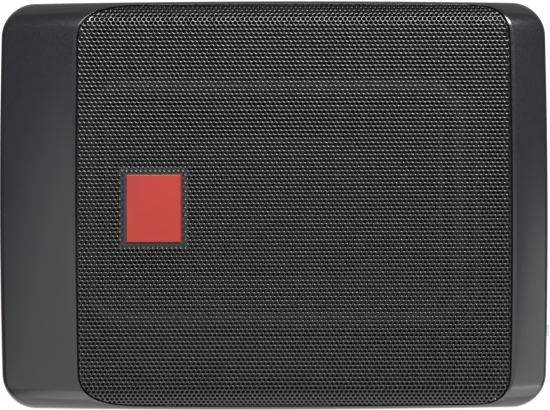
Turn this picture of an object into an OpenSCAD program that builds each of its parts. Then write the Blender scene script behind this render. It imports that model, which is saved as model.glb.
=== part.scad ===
// Powered under-seat car subwoofer: a shallow closed box with a racetrack driver behind a perforated
// steel grille, its amplifier below, and a recessed control end. Millimetres, +Z up, origin on the floor
// under the middle of the box, +X towards the control end.

// Piece to draw, or all of them

/* [Housing] */

// Length of the box over its two ends
body_l = 260; // [254:1:270]
// Width of the box over its long sides
body_w = 194; // [192:1:202]
// Height from the floor to the crown of the top
body_h = 70; // [70:0.5:76]
// Corner radius of the outline seen from above
corner_r = 15.5; // [13:0.5:18]
// Outward bow of each side at its middle
side_bow = 1.3; // [0.5:0.1:1.8]
// Wall thickness
wall = 4; // [3.6:0.1:4.4]
// Radius of the rolled long edges
edge_r = 13.3; // [12:0.1:14]
// Radius of the crowned top across the width
crown_r = 900; // [800:20:1200]
// Lean of the upper walls, at their top
draft = 0.7; // [0.4:0.1:1]
// Width of the shoulder at the closed end
left_shoulder = 37.1; // [34:0.1:38]
// Width of the shoulder over the control end
right_shoulder = 18; // [17:0.1:19]
// Flat rim between the grille and each shoulder
rim_w = 2.4; // [1.5:0.1:3]
// Height of the upper half
upper_h = 24; // [23:0.1:24.5]
// Depth of the deck under the crown
deck_drop = 14; // [13.6:0.1:14.6]
// Thickness of the deck that carries the driver
deck_t = 4; // [3.6:0.1:4.4]
// Height of the feet under the base
foot_h = 2.5; // [2:0.1:2.8]
// Radius of a foot
foot_r = 9; // [7:0.5:10]
// Thickness of the floor
floor_t = 3; // [2.6:0.1:3.2]

/* [Grille] */

// Thickness of the perforated sheet
sheet_t = 0.8; // [0.6:0.1:1]
// Depth of the sheet below the rim
grille_sink = 0.4; // [0.2:0.1:0.6]
// Gap around the sheet
grille_gap = 0.5; // [0.3:0.1:0.8]
// Housing strip left outside the grille on the long sides
strip_w = 2.3; // [1.5:0.1:2.5]
// Pitch of the holes, three times that of the real sheet
hole_pitch = 6.63; // [6.4:0.01:7.2]
// Diameter of the holes, three times that of the real sheet
hole_d = 4.5; // [4:0.1:4.8]
// Width of the badge plate, along X
badge_w = 25.7; // [22:0.1:28]
// Height of the badge plate, along Y
badge_h = 31.8; // [28:0.1:34]
// Distance of the badge's middle from the closed end of the grille
badge_in = 36.2; // [30:0.1:44]
// Gap between the badge and the sheet
badge_gap = 0.8; // [0.5:0.1:1.2]

/* [Driver] */

// Distance from the driver flange to each end of the box
driver_end = 27; // [26:0.5:29]
// Distance from the driver flange to each long side of the box
driver_side = 23; // [23:0.5:25]
// Corner radius of the driver opening
opening_r = 26; // [25:0.5:28]
// Width of the half roll of the surround
roll_w = 14; // [13:0.5:14.5]
// Outer radius of the coil former
coil_r = 25.3; // [24.5:0.1:26]
// Radius of the magnet ring
magnet_r = 45; // [43:0.5:46]
// Radius of the spider's outer edge
spider_r = 46; // [45:0.5:47]

/* [Controls] */

// Depth of the control panel behind the end of the box
bay_depth = 12; // [11.5:0.1:12.5]
// Distance from the control bay to each long side of the box
bay_side = 20; // [18:0.5:21]
// Thickness of the panel
panel_t = 2; // [1.6:0.1:2.4]
// Radius of a knob
knob_r = 5; // [4.4:0.1:5.6]
// Pitch of the knobs
knob_pitch = 13; // [12.5:0.1:13.5]
// Travel of a slide switch
switch_travel = 3; // [2.4:0.1:3.4]
// Fuse tip past the end of the box
fuse_out = 1.3; // [0.8:0.1:2]
// Distance of the fuse from the end of the panel window
fuse_in = 10; // [9.5:0.1:12]

/* [Fits] */

// Clearance around a screw or a pin in its hole
screw_gap = 0.15; // [0.1:0.01:0.25]
// Clearance around a body in its panel cut-out
cut_gap = 0.2; // [0.1:0.05:0.3]
// Running clearance of shafts and buttons
run_gap = 0.1; // [0.08:0.01:0.15]

/* [Hidden] */

$fn = 64;
eps = 0.02;
over = 1;
corner_steps = 8;
side_steps = 6;
half_l = body_l / 2;
half_w = body_w / 2;
top_hl = half_l - draft;
top_hw = half_w - draft;
base_z = foot_h;
floor_z = base_z + floor_t;
seam_z = body_h - upper_h;
deck_z1 = body_h - deck_drop;
deck_z0 = deck_z1 - deck_t;

// rolled long edges of the arch
roll_share = 0.94;
arc_y = top_hw - roll_share * edge_r;
arc_z = crown_z(arc_y) - edge_r;
edge_slope = arc_y / crown_r;
roll_in = 2 * edge_r * edge_slope / (1 + edge_slope * edge_slope);

// shoulders: first slope and curve of each, and the round at the end walls
left_slope = 0.11;
left_curve = 0.0014;
right_slope = 0.26;
right_curve = 0.0036;
end_r = 1.4;

// grille outline, its seat and the room under it
gx0 = -half_l + left_shoulder;
gx1 = half_l - right_shoulder;
grille_mid = (gx0 + gx1) / 2;
grille_hl = (gx1 - gx0) / 2;
grille_hw = half_w - strip_w;
left_corner = 34;
right_corner = 19;
corner_y = 18;
corner_n = 3;
row_pitch = hole_pitch * sqrt(3) / 2;
hole_margin = hole_d / 2 + 0.6;
ledge_x = 4;
ledge_y = 4.4;
room_r = 20;
badge_x = gx0 + badge_in;
badge_y = -1.2;
badge_t = grille_sink + 0.6;
badge_lip = 3.2;

// lower half: height above the base and distance inwards, up its rounded foot
foot_profile = [[0, 9], [0.8, 7.2], [2.5, 5.8], [6, 4.9]];
seam_in = 0.4;
groove_t = 1.5;
groove_in = [1.6, 3];
groove_gap = 0.05;

// screws
boss_x = [18 - half_l, -half_l / 4, half_l / 4, half_l - 26];
boss_y = half_w - 17;
boss_r = 6;
boss_head_r = 4;
boss_head_h = 2;
screw_r = 1.7;
head_r = 3.6;
head_gap = 0.4;
head_z = base_z + 2.5;
small_r = 1.3;
small_head_r = 2.6;
small_head_h = 1.8;
small_drive_r = 1.1;
board_screw_r = 1.2;

// feet and fixing inserts
foot_x = half_l - 30;
foot_y = half_w - 32;
insert_y = foot_y - 20;
insert_r = 3.5;
insert_bore_r = 2.1;
insert_h = 6.5;
insert_cap = 1.5;
insert_wall = 2;

// driver, whose depth follows the room between the floor and the deck
driver_l = body_l - 2 * driver_end;
driver_w = body_w - 2 * driver_side;
gasket_t = 1;
flange_z1 = deck_z0 - gasket_t;
flange_t = 2.5;
flange_z0 = flange_z1 - flange_t;
flange_r = opening_r + 4;
opening_hl = driver_l / 2 - 5;
opening_hw = driver_w / 2 - 8.5;
deep = (flange_z1 - floor_z - 1) / 44.5;
lip_w = 3.3;
inner_lip_w = 2.5;
roll_r = roll_w / 2;
skin_t = 0.9;
track_in = 0.3 + lip_w + roll_r;
track_hl = opening_hl - track_in;
track_hw = opening_hw - track_in;
track_r = opening_r - track_in;
rim_in = roll_r - skin_t + 0.5;
rim_hl = track_hl - rim_in;
rim_hw = track_hw - rim_in;
rim_r = track_r - rim_in;
rim_flat = 3.4;
cone_t = 1.2;
neck_r = coil_r + 0.15;
neck_z = flange_z1 - 11 * deep;
cap_f = 0.6;
cap_h = 3;
cap_t = 1;
skirt_t = 3.5;
motor_z = flange_z1 - 24.5 * deep;
hub_t = 2.5 * deep;
hub_r = 33;
spoke_w = 12;
shelf_z = motor_z + 6.5 * deep;
seat_w = 3;
plate_t = 5 * deep;
magnet_t = 10 * deep;
gap_r = coil_r + 1.5;
pole_r = coil_r - 1;
vent_r = 8;
coil_h = 12 * deep;
coil_t = 0.8;
former_t = 0.4;
coil_mid = motor_z - plate_t / 2;
spider_t = 0.6;
spider_wave = 0.9;
side_window_x = (opening_hl - 2) / 2;
side_window_hw = side_window_x * 0.375;
end_window_y = (opening_hw - 21.5) / 2;
end_window_hw = 12;
driver_screw_x = [for (f = [-1, -1 / 3, 1 / 3, 1]) f * (opening_hl - 23)];
driver_screw_y = opening_hw + 4.2;
driver_boss_r = 3.2;
driver_boss_h = 2.5;
terminal_x = opening_hl;
terminal_t = 5;
terminal_z = shelf_z + 4;
terminal_h = 6;
terminal_hw = 8;
tinsel_r = 0.6;
tinsel_f = 0.5;
tinsel_x = (rim_hl - rim_flat) * (1 - tinsel_f) + neck_r * tinsel_f;
lead_y = 4;
lead_r = 0.9;

// control bay, its panel and the window behind it
panel_x = half_l - bay_depth;
panel_back = panel_x - panel_t;
bay_hw = half_w - bay_side;
bay_wall = 3.5;
bay_z0 = base_z + 9;
bay_z1 = seam_z - 3.5;
ctrl_z = (bay_z0 + bay_z1) / 2;
window_hw = bay_hw - 7;
window_z0 = bay_z0 + 3.5;
window_z1 = bay_z1 - 3.5;
panel_gap = 0.6;
panel_hw = bay_hw - panel_gap;
panel_z0 = bay_z0 + panel_gap;
panel_z1 = bay_z1 - panel_gap;
panel_screw_y = bay_hw - 4;
panel_screw_in = 4;
body_d = 10.4;
board_t = 1.6;
ctrl_front = panel_back - body_d;
board_x = ctrl_front - board_t;

// places along the panel follow the length of its window, and heights its height
along = window_hw / 70;
upright = (window_z1 - window_z0) / 24;
knob_y = 34 * along;
knob_z = ctrl_z + 6 * upright;
knob_gap = 1.5;
knob_h = 6.5;
knob_core_r = knob_r - 0.4;
rib_w = 1;
rib_h = knob_h - 0.8;
pointer_w = 1;
pointer_d = 0.6;
shaft_r = 2;
shaft_in = 4.3;
bush_r = 3.5;
bush_out = 1.2;
pot_hw = 4.7;
pot_hh = 4.7 * upright;
low_z = ctrl_z - 8.5 * upright;
switch_y = [40 * along, 54 * along];
switch_hw = 6;
switch_hh = 3 * upright;
slot_gap = run_gap + 0.2;
slot_d = 4;
button_w = 3.6;
button_h = 3 * upright;
button_out = 1.6;
button_rib = 0.6;
light_y = 66 * along;
light_r = 1.5;
light_out = 0.6;
phono_y = [-12 * along, 3 * along];
phono_r = 4.2;
phono_out = 9.5;
phono_bore_r = 3.5;
phono_nut_r = 5.8;
phono_nut_t = 1.6;
phono_core_r = 3.4;
phono_core_out = 8.7;
phono_pin_r = 1.65;
phono_block_hw = 6.5;
phono_block_hh = 7 * upright;
socket_y = -37 * along;
socket_w = 26 * along;
socket_h = 15 * upright;
socket_wall = 1.8;
socket_out = 8;
socket_d = 2;
latch_w = 6;
latch_d = 5;
pin_pitch = 4.2 * along;
pin_row = 4.2 * upright;
pin_w = 1;
pin_out = 3;
remote_y = 19 * along;
remote_w = 13 * along;
remote_h = 13 * upright;
remote_out = 0.8;
remote_back = 2.5;
remote_hole_w = 9.8 * along;
remote_hole_h = 7 * upright;
remote_key_w = 4 * along;
remote_key_z = 5.2 * upright;
fuse_y = window_hw - fuse_in;
holder_w = 9;
holder_h = 23 * upright;
holder_x1 = panel_x + 2.5;
fuse_len = 12;
fuse_t = 5.1;
fuse_w = 19.1 * upright;
fuse_head = 4;
fuse_step_t = 0.6;
fuse_step_w = 0.8;
fuse_gap = 0.3;
fuse_x1 = half_l + fuse_out;
fuse_x0 = fuse_x1 - fuse_len;
test_hole_w = 1.6;
test_hole_h = 2.4;
blade_t = 0.65;
blade_w = 5.2 * upright;
blade_l = 8;
blade_z = 6.2 * upright;
blade_gap = 0.2;

// boards between the motor and the control end, with what stands on them under the driver
amp_x0 = magnet_r + 9;
amp_x1 = board_x - 3;
amp_hw = half_w - 23;
amp_z0 = floor_z + 6;
amp_z1 = amp_z0 + board_t;
amp_long = (amp_x1 - amp_x0) / 47;
amp_wide = amp_hw / 74;
part_h = motor_z + hub_t - amp_z1 - 1.9;
post_in = 5;
post_r = 3.5;
post_y = amp_hw - post_in;
ctrl_hw = boss_y - boss_r - 2;
header_t = 6;
header_y = [20 * amp_wide, 50 * amp_wide];
header_h = 7;
cap_x = amp_x0 + 12 * amp_long;
cap_y = [for (y = [-50, -35, -20]) y * amp_wide];
cap_r = 6.3;
can_h = part_h - 1;
toroid_x = amp_x0 + 20 * amp_long;
toroid_y = 30 * amp_wide;
toroid_t = part_h * 3 / 7;
toroid_r = 17 * amp_long - toroid_t;
sink_x = amp_x1 - 9.5;
sink_y = [-60 * amp_wide, 4 * amp_wide];
sink_t = 3;
fin_l = 4;
fin_t = 1;
fins = 8;
chip_y = [for (y = [-52, -36, -20, -4]) y * amp_wide];
chip_t = 4.5;
chip_w = 10;
chip_h = part_h - 1;

// height of the crowned top across the width
function crown_z(y) = body_h - crown_r + sqrt(crown_r * crown_r - y * y);

// crowned top with its rolled long edges
function arch_z(y) =
  y <= arc_y ? crown_z(y) : min(crown_z(y), arc_z + sqrt(max(0, edge_r * edge_r - pow(y - arc_y, 2))));

// how far the soft corners of the grille, and the rim with them, draw in towards the long sides
function corner_in(y, corner_x) =
  let(v = min(0.92, max(0, abs(y) - grille_hw + corner_y) / corner_y))
  corner_x * (1 - pow(1 - pow(v, corner_n), 1 / corner_n));

// fall of the shoulder at the closed end, soft at first
function left_fall(x, y) =
  let(u = max(0, gx0 - rim_w + corner_in(y, left_corner) - x)) left_slope * u + left_curve * u * u;

// fall of the shoulder over the control end, from a crease
function right_fall(x, y) =
  let(u = max(0, x - gx1 - rim_w + corner_in(y, right_corner))) right_slope * u + right_curve * u * u;

// small round where the shoulders meet the end walls
function end_round(x, y) =
  let(
    dx = max(0, abs(x) - top_hl + corner_r),
    dy = max(0, abs(y) - top_hw + corner_r),
    e = corner_r - norm([dx, dy]),
    t = min(roll_share, max(0, roll_share - e / end_r))
  )
  dx / corner_r * end_r * (1 - sqrt(1 - t * t));

function top_z(x, y) = arch_z(abs(y)) - left_fall(x, y) - right_fall(x, y) - end_round(x, y);

// sides bowed outwards
function bowed(p) = [
  p.x * (1 - side_bow / half_l * pow(p.y / half_w, 2)),
  p.y * (1 - side_bow / half_w * pow(p.x / half_l, 2))
];

function corner_arc(hl, hw, r, c) =
  let(sx = c == 0 || c == 3 ? 1 : -1, sy = c < 2 ? 1 : -1)
  [for (k = [0:corner_steps]) let(a = 90 * c + 90 * k / corner_steps)
    [sx * (hl - r) + r * cos(a), sy * (hw - r) + r * sin(a)]];

// rounded rectangle with points along its sides too
function rounded(hl, hw, r) = [for (c = [0:3])
  let(
    arc = corner_arc(hl, hw, r, c),
    last = arc[corner_steps],
    next = corner_arc(hl, hw, r, (c + 1) % 4)[0]
  )
  each concat(arc, [for (m = [1:side_steps]) last + (next - last) * m / (side_steps + 1)])];

// outline of the box, drawn in by a distance
function outline(inset) =
  [for (p = rounded(half_l - inset, half_w - inset, max(corner_r - inset, 4))) bowed(p)];

function at(points, z) = [for (p = points) [p.x, p.y, z]];

// grille outline, with long soft corners
function soft_corner(c, grow) =
  let(
    sx = c == 0 || c == 3 ? 1 : -1,
    sy = c < 2 ? 1 : -1,
    hl = grille_hl + grow,
    hw = grille_hw + grow,
    corner_x = sx > 0 ? right_corner : left_corner
  )
  [for (k = [0:12]) let(a = (c % 2 == 0 ? k : 12 - k) * 90 / 12)
    [grille_mid + sx * (hl - corner_x + corner_x * pow(cos(a), 2 / corner_n)),
     sy * (hw - corner_y + corner_y * pow(sin(a), 2 / corner_n))]];

function grille_outline(grow) = [for (c = [0:3]) for (p = soft_corner(c, grow)) bowed(p)];

// whether a point of the sheet keeps clear of its outline and of the badge
function in_sheet(x, y, margin) =
  let(
    hl = grille_hl - margin,
    hw = grille_hw - margin,
    corner_x = x > grille_mid ? right_corner : left_corner,
    u = max(0, abs(x - grille_mid) - hl + corner_x) / corner_x,
    v = max(0, abs(y) - hw + corner_y) / corner_y
  )
  pow(u, corner_n) + pow(v, corner_n) < 1
  && !(abs(x - badge_x) < badge_w / 2 + badge_gap + margin
       && abs(y - badge_y) < badge_h / 2 + badge_gap + margin);

// place on the arch at a developed distance from the middle: y, z and tilt
function sheet_place(s) =
  let(
    r = edge_r - grille_sink,
    far = abs(s) - arc_y - roll_in
  )
  far <= 0
  ? [s, crown_z(s) - grille_sink, asin(s / crown_r)]
  : let(a = asin(roll_in / r) + far / r * 180 / PI)
    [sign(s) * (arc_y + r * sin(a)), arc_z + r * cos(a), sign(s) * a];

// solid between closed rings of equal length, capped at both ends
module loft(rings) {
  n = len(rings[0]);
  last = len(rings) - 1;
  polyhedron(
    points = [for (r = rings) each r],
    faces = concat(
      [[for (j = [0:n - 1]) j]],
      [for (i = [0:last - 1]) for (j = [0:n - 1])
        [i * n + j, (i + 1) * n + j, (i + 1) * n + (j + 1) % n, i * n + (j + 1) % n]],
      [[for (j = [n - 1:-1:0]) last * n + j]]
    ),
    convexity = 6
  );
}

// hollow solid whose rings run round a closed section
module ring_loft(rings) {
  n = len(rings[0]);
  m = len(rings);
  polyhedron(
    points = [for (r = rings) each r],
    faces = [for (i = [0:m - 1]) for (j = [0:n - 1])
      [i * n + j, (i + 1) % m * n + j, (i + 1) % m * n + (j + 1) % n, i * n + (j + 1) % n]],
    convexity = 6
  );
}

module track_2d(hl, hw, r) {
  square([2 * hl, 2 * (hw - r)], center = true);
  square([2 * (hl - r), 2 * hw], center = true);
  for (sx = [-1, 1]) for (sy = [-1, 1])
    translate([sx * (hl - r), sy * (hw - r)]) circle(r);
}

// section carried round a racetrack
module track_sweep(hl, hw, r) {
  for (sx = [0, 1]) for (sy = [0, 1])
    mirror([sx, 0, 0]) mirror([0, sy, 0])
      translate([hl - r, hw - r, 0]) rotate_extrude(angle = 90) translate([r, 0]) children();
  for (s = [0, 1]) mirror([0, s, 0])
    translate([r - hl, hw, 0]) rotate([90, 0, 90]) linear_extrude(2 * (hl - r)) children();
  for (s = [0, 1]) mirror([s, 0, 0])
    translate([hl, hw - r, 0]) rotate([90, 0, 0]) linear_extrude(2 * (hw - r)) children();
}

module tube(r1, r0, h) {
  difference() {
    cylinder(h = h, r = r1);
    translate([0, 0, -over]) cylinder(h = h + 2 * over, r = r0);
  }
}

module block(x0, x1, y0, y1, z0, z1) {
  translate([x0, y0, z0]) cube([x1 - x0, y1 - y0, z1 - z0]);
}

// cylinder along +X, from x0 to x1
module rod_x(x0, x1, y, z, r) {
  translate([x0, y, z]) rotate([0, 90, 0]) cylinder(h = x1 - x0, r = r);
}

module boss_places() {
  for (x = boss_x) for (s = [-1, 1]) translate([x, s * boss_y, 0]) children();
}

module insert_places() {
  for (sx = [-1, 1]) for (sy = [-1, 1]) translate([sx * foot_x, sy * insert_y, 0]) children();
}

module post_places() {
  for (x = [amp_x0 + post_in, amp_x1 - post_in]) for (s = [-1, 1]) translate([x, s * post_y, 0]) children();
}

module driver_screw_places() {
  for (x = driver_screw_x) for (s = [-1, 1]) translate([x, s * driver_screw_y, 0]) children();
}

// arch of the top, drawn in by a distance, along X, with one flat for each row of holes
module arch(x0, x1, inset) {
  r = edge_r - inset;
  n = ceil(half_w / row_pitch);
  edges = [for (j = [-n:n - 1]) (j + 0.5) * row_pitch];
  translate([x0, 0, 0]) rotate([90, 0, 90]) linear_extrude(x1 - x0) intersection() {
    polygon(concat(
      [for (y = edges) [y, crown_z(y) - inset]],
      [[edges[2 * n - 1], arc_z - 20], [edges[0], arc_z - 20]]
    ));
    union() {
      translate([-arc_y - roll_in / 2, arc_z - 16]) square([2 * arc_y + roll_in, body_h - arc_z + 20]);
      for (s = [-1, 1]) translate([s * arc_y, arc_z]) circle(r);
      translate([-arc_y - r, arc_z - 16]) square([2 * (arc_y + r), 16]);
    }
  }
}

// whole upper form as one solid, in sections along X
module dome() {
  edge_steps = [0, 0.35, 0.9, 1.7, 2.8, 4.2, 6, 8, 10.5, 13, 16];
  x_l = -top_hl + corner_r;
  x_c = gx1 + rim_w;
  stations = concat(
    [for (k = [0:9]) -top_hl + corner_r * (1 - cos(10 * k))],
    [for (m = [1:3]) x_l + (gx0 - rim_w - x_l) * m / 3],
    [for (m = [0:3]) gx0 + 4 * m],
    [for (m = [1:6]) gx0 + 12 + (gx1 - gx0 - 24) * m / 6],
    [for (m = [1:3]) gx1 - 12 + 4 * m],
    [x_c],
    [for (k = [9:-1:0]) let(x = top_hl - corner_r * (1 - cos(10 * k))) if (x > x_c + 0.5) x]
  );
  widths = [for (x = stations)
    let(dx = max(0, abs(x) - top_hl + corner_r))
    top_hw - corner_r + sqrt(max(0, corner_r * corner_r - dx * dx))];
  half = [for (b = widths) concat([for (e = edge_steps) b - e], [for (f = [0.75, 0.5, 0.25]) (b - 16) * f])];
  rows = [for (h = half) concat(h, [0], [for (i = [len(h) - 1:-1:0]) -h[i]])];
  last = len(stations) - 1;
  n = len(rows[0]) + 2;
  foot = [for (i = [0:last]) [for (y = rows[i])
    let(p = bowed([stations[i] * half_l / top_hl, y * half_w / top_hw])) [p.x, p.y, seam_z]]];
  sections = [for (i = [0:last]) concat(
    [foot[i][0]],
    [for (y = rows[i]) let(p = bowed([stations[i], y])) [p.x, p.y, top_z(stations[i], y)]],
    [foot[i][n - 3]]
  )];
  // the end walls stand on bowed edges of their own
  inner = n - 4;
  low = [for (e = [0, 1]) concat(
    [e * last * n],
    [for (j = [0:inner - 1]) (last + 1) * n + e * inner + j],
    [e * last * n + n - 1]
  )];
  wall_faces = [for (e = [0, 1]) concat(
    [low[e]],
    [for (j = [0:inner]) [low[e][j], e * last * n + j + 1, e * last * n + j + 2, low[e][j + 1]]]
  )];
  polyhedron(
    points = concat(
      [for (s = sections) each s],
      [for (i = [0, last]) for (j = [1:inner]) foot[i][j]]
    ),
    faces = concat(
      wall_faces[0],
      [for (i = [0:last - 1]) for (j = [0:n - 1])
        [i * n + j, (i + 1) * n + j, (i + 1) * n + (j + 1) % n, i * n + (j + 1) % n]],
      [for (f = wall_faces[1]) [for (k = [len(f) - 1:-1:0]) f[k]]]
    ),
    convexity = 6
  );
}

// seat for the grille: all above its underside, within its outline
module grille_seat() {
  difference() {
    translate([0, 0, deck_z1]) linear_extrude(body_h) polygon(grille_outline(grille_gap));
    arch(gx0 - 20, gx1 + 20, grille_sink + sheet_t);
  }
}

module upper_housing() {
  color("#2b2a2d") difference() {
    union() {
      difference() {
        dome();
        grille_seat();
        // room under the grille
        translate([grille_mid, 0, deck_z1]) linear_extrude(body_h)
          track_2d(grille_hl - ledge_x, grille_hw - ledge_y, room_r);
        // hollow below the deck
        translate([0, 0, seam_z - over]) linear_extrude(deck_z0 - seam_z + over) polygon(outline(wall));
        // hollow in the wide shoulder
        block(wall + 2 - half_l, gx0 - 3, 22 - half_w, half_w - 22, deck_z0 - over, deck_z1 + 2);
        // opening for the driver
        translate([0, 0, deck_z0 - over]) linear_extrude(roll_r + deck_t + over)
          track_2d(opening_hl, opening_hw, opening_r);
      }
      boss_places() {
        translate([0, 0, seam_z]) cylinder(h = deck_z0 - seam_z + eps, r = boss_head_r);
        translate([0, 0, deck_z1 - eps]) cylinder(h = boss_head_h, r = boss_head_r);
      }
      driver_screw_places() translate([0, 0, deck_z1 - eps]) cylinder(h = driver_boss_h, r = driver_boss_r);
    }
    boss_places() translate([0, 0, seam_z - over]) cylinder(h = deck_z1 - seam_z, r = screw_r + screw_gap);
    driver_screw_places() translate([0, 0, deck_z0 - over])
      cylinder(h = deck_t + 2 * over, r = small_r + screw_gap);
  }
}

module lower_housing() {
  levels = concat([for (p = foot_profile) [base_z + p[0], p[1]]], [[seam_z, seam_in]]);
  hollow = [
    [floor_z, foot_profile[2][1] + wall],
    [base_z + foot_profile[3][0], foot_profile[3][1] + wall],
    [seam_z, seam_in + wall],
    [seam_z + over, seam_in + wall]
  ];
  color("#1f1f21") difference() {
    union() {
      difference() {
        loft([for (l = levels) at(outline(l[1]), l[0])]);
        difference() {
          loft([for (l = hollow) at(outline(l[1]), l[0])]);
          block(panel_back - bay_wall, half_l + over, -bay_hw - bay_wall, bay_hw + bay_wall, 0, body_h);
        }
      }
      boss_places() translate([0, 0, floor_z - eps]) cylinder(h = seam_z - floor_z + eps, r = boss_r);
      insert_places() translate([0, 0, floor_z - eps])
        cylinder(h = insert_h - floor_t + insert_cap + eps, r = insert_r + insert_wall);
      post_places() translate([0, 0, floor_z - eps]) cylinder(h = amp_z0 - floor_z + eps, r = post_r);
    }
    // control bay, and the window behind the panel
    block(panel_back, half_l + over, -bay_hw, bay_hw, bay_z0, bay_z1);
    block(panel_back - bay_wall - over, panel_back + over, -window_hw, window_hw, window_z0, window_z1);
    panel_screw_places() rod_x(panel_back - bay_wall - over, panel_back + over, 0, 0, small_r + screw_gap);
    // groove for the gasket
    translate([0, 0, seam_z - groove_t]) linear_extrude(2 * groove_t) difference() {
      polygon(outline(groove_in[0]));
      polygon(outline(groove_in[1]));
    }
    boss_places() {
      translate([0, 0, base_z - over]) cylinder(h = head_z - base_z + over, r = head_r + head_gap);
      translate([0, 0, base_z]) cylinder(h = body_h, r = screw_r + screw_gap);
    }
    insert_places() translate([0, 0, base_z - over]) cylinder(h = insert_h + over, r = insert_r);
    post_places() translate([0, 0, floor_z + over]) cylinder(h = amp_z0, r = board_screw_r + screw_gap);
  }
}

module housing_gasket() {
  color("#151515") translate([0, 0, seam_z - groove_t]) linear_extrude(groove_t) difference() {
    polygon(outline(groove_in[0] + groove_gap));
    polygon(outline(groove_in[1] - groove_gap));
  }
}

// countersunk screws driven up from below into the deck
module housing_screws() {
  sunk = 0.3;
  head_h = head_z - base_z - sunk;
  color("#55565a") boss_places() translate([0, 0, base_z + sunk]) difference() {
    union() {
      cylinder(h = head_h, r = head_r);
      translate([0, 0, head_h - eps]) cylinder(h = deck_z1 - deck_t - head_z, r = screw_r);
    }
    translate([0, 0, -over]) cylinder(h = head_h + 0.2, r = head_r * 0.45, $fn = 6);
  }
}

module rubber_feet() {
  color("#141414") for (sx = [-1, 1]) for (sy = [-1, 1])
    translate([sx * foot_x, sy * foot_y, 0]) rotate_extrude()
      polygon([[0, 0], [foot_r - 1.2, 0], [foot_r - 0.6, 0.4], [foot_r, foot_h], [0, foot_h]]);
}

module threaded_inserts() {
  color("#b08d4a") insert_places() translate([0, 0, base_z]) tube(insert_r, insert_bore_r, insert_h);
}

// perforated sheet, following the arch, with staggered round holes
module grille() {
  rows = floor((arc_y + edge_r * 1.2) / row_pitch);
  cols = ceil(grille_hl / hole_pitch) + 1;
  color("#3a3a3c") difference() {
    intersection() {
      difference() {
        arch(gx0 - 5, gx1 + 5, grille_sink);
        arch(gx0 - 6, gx1 + 6, grille_sink + sheet_t);
      }
      translate([0, 0, arc_z + 1.5]) linear_extrude(body_h) polygon(grille_outline(0));
    }
    for (j = [-rows:rows]) for (i = [-cols:cols])
      let(
        p = sheet_place(j * row_pitch),
        x = grille_mid + (i + (j % 2 == 0 ? 0 : 0.5)) * hole_pitch
      )
      if (in_sheet(x, p[0], hole_margin))
        translate([x, p[0], p[1]]) rotate([-p[2], 0, 0])
          cylinder(h = 3 * sheet_t + over, r = hole_d / 2, center = true);
    block(
      badge_x - badge_w / 2 - badge_gap, badge_x + badge_w / 2 + badge_gap,
      badge_y - badge_h / 2 - badge_gap, badge_y + badge_h / 2 + badge_gap,
      body_h - 10, body_h + 5
    );
  }
}

// tray glued under the sheet, standing up through its cut-out
module badge_base() {
  x0 = badge_x - badge_w / 2;
  y0 = badge_y - badge_h / 2;
  under = grille_sink + sheet_t;
  color("#101010") union() {
    intersection() {
      block(x0 - badge_lip, x0 + badge_w + badge_lip, y0 - badge_lip, y0 + badge_h + badge_lip,
        body_h - 3, body_h);
      arch(x0 - 20, x0 + badge_w + 20, under);
    }
    block(x0, x0 + badge_w, y0, y0 + badge_h, body_h - 2.5, body_h - badge_t);
  }
}

module badge_plate() {
  x0 = badge_x - badge_w / 2;
  y0 = badge_y - badge_h / 2;
  color("#c84c3f") block(x0, x0 + badge_w, y0, y0 + badge_h, body_h - badge_t, body_h);
}

// cast frame: flange, windowed skirt, spokes and the hub that carries the motor and the spider
module driver_basket() {
  color("#3c3d40") difference() {
    union() {
      translate([0, 0, flange_z0]) linear_extrude(flange_t) track_2d(driver_l / 2, driver_w / 2, flange_r);
      translate([0, 0, motor_z + hub_t]) linear_extrude(flange_z0 - motor_z - hub_t + eps)
        track_2d(opening_hl, opening_hw, opening_r);
      translate([0, 0, motor_z]) cylinder(h = hub_t + eps, r = spider_r);
    }
    // inside of the skirt, down to the spokes
    translate([0, 0, shelf_z]) linear_extrude(body_h)
      track_2d(opening_hl - skirt_t, opening_hw - skirt_t, opening_r - skirt_t);
    // between the spokes
    translate([0, 0, motor_z + hub_t - over]) linear_extrude(shelf_z - motor_z) difference() {
      track_2d(opening_hl - skirt_t, opening_hw - skirt_t, opening_r - skirt_t);
      circle(spider_r);
      for (a = [0, 40, 90, 140]) rotate(a) square([driver_l, spoke_w], center = true);
    }
    // well under the spider, and the way for the coil
    translate([0, 0, motor_z + hub_t]) cylinder(h = body_h, r = spider_r - seat_w);
    translate([0, 0, motor_z - over]) cylinder(h = body_h, r = hub_r);
    // windows in the skirt
    for (x = [-1, 0, 1] * side_window_x)
      block(x - side_window_hw, x + side_window_hw, -driver_w, driver_w, shelf_z + 2, flange_z0 - 3);
    for (y = [-1, 1] * end_window_y)
      block(-driver_l, driver_l, y - end_window_hw, y + end_window_hw, shelf_z + 2, flange_z0 - 3);
    driver_screw_places() translate([0, 0, flange_z0 - over])
      cylinder(h = flange_t + 2 * over, r = small_r + 2 * screw_gap);
  }
}

module driver_gasket() {
  color("#222222") translate([0, 0, flange_z1]) linear_extrude(gasket_t) difference() {
    track_2d(driver_l / 2, driver_w / 2, flange_r);
    track_2d(opening_hl, opening_hw, opening_r);
    driver_screw_places() circle(small_r + 2 * screw_gap);
  }
}

module driver_screws() {
  length = flange_t + gasket_t + deck_t;
  color("#6a6b6f") driver_screw_places() difference() {
    union() {
      translate([0, 0, flange_z0 - small_head_h]) cylinder(h = small_head_h, r = small_head_r);
      translate([0, 0, flange_z0 - eps]) cylinder(h = length, r = small_r);
    }
    translate([0, 0, flange_z0 - small_head_h - over]) cylinder(h = 2 * over, r = small_drive_r, $fn = 6);
  }
}

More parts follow.
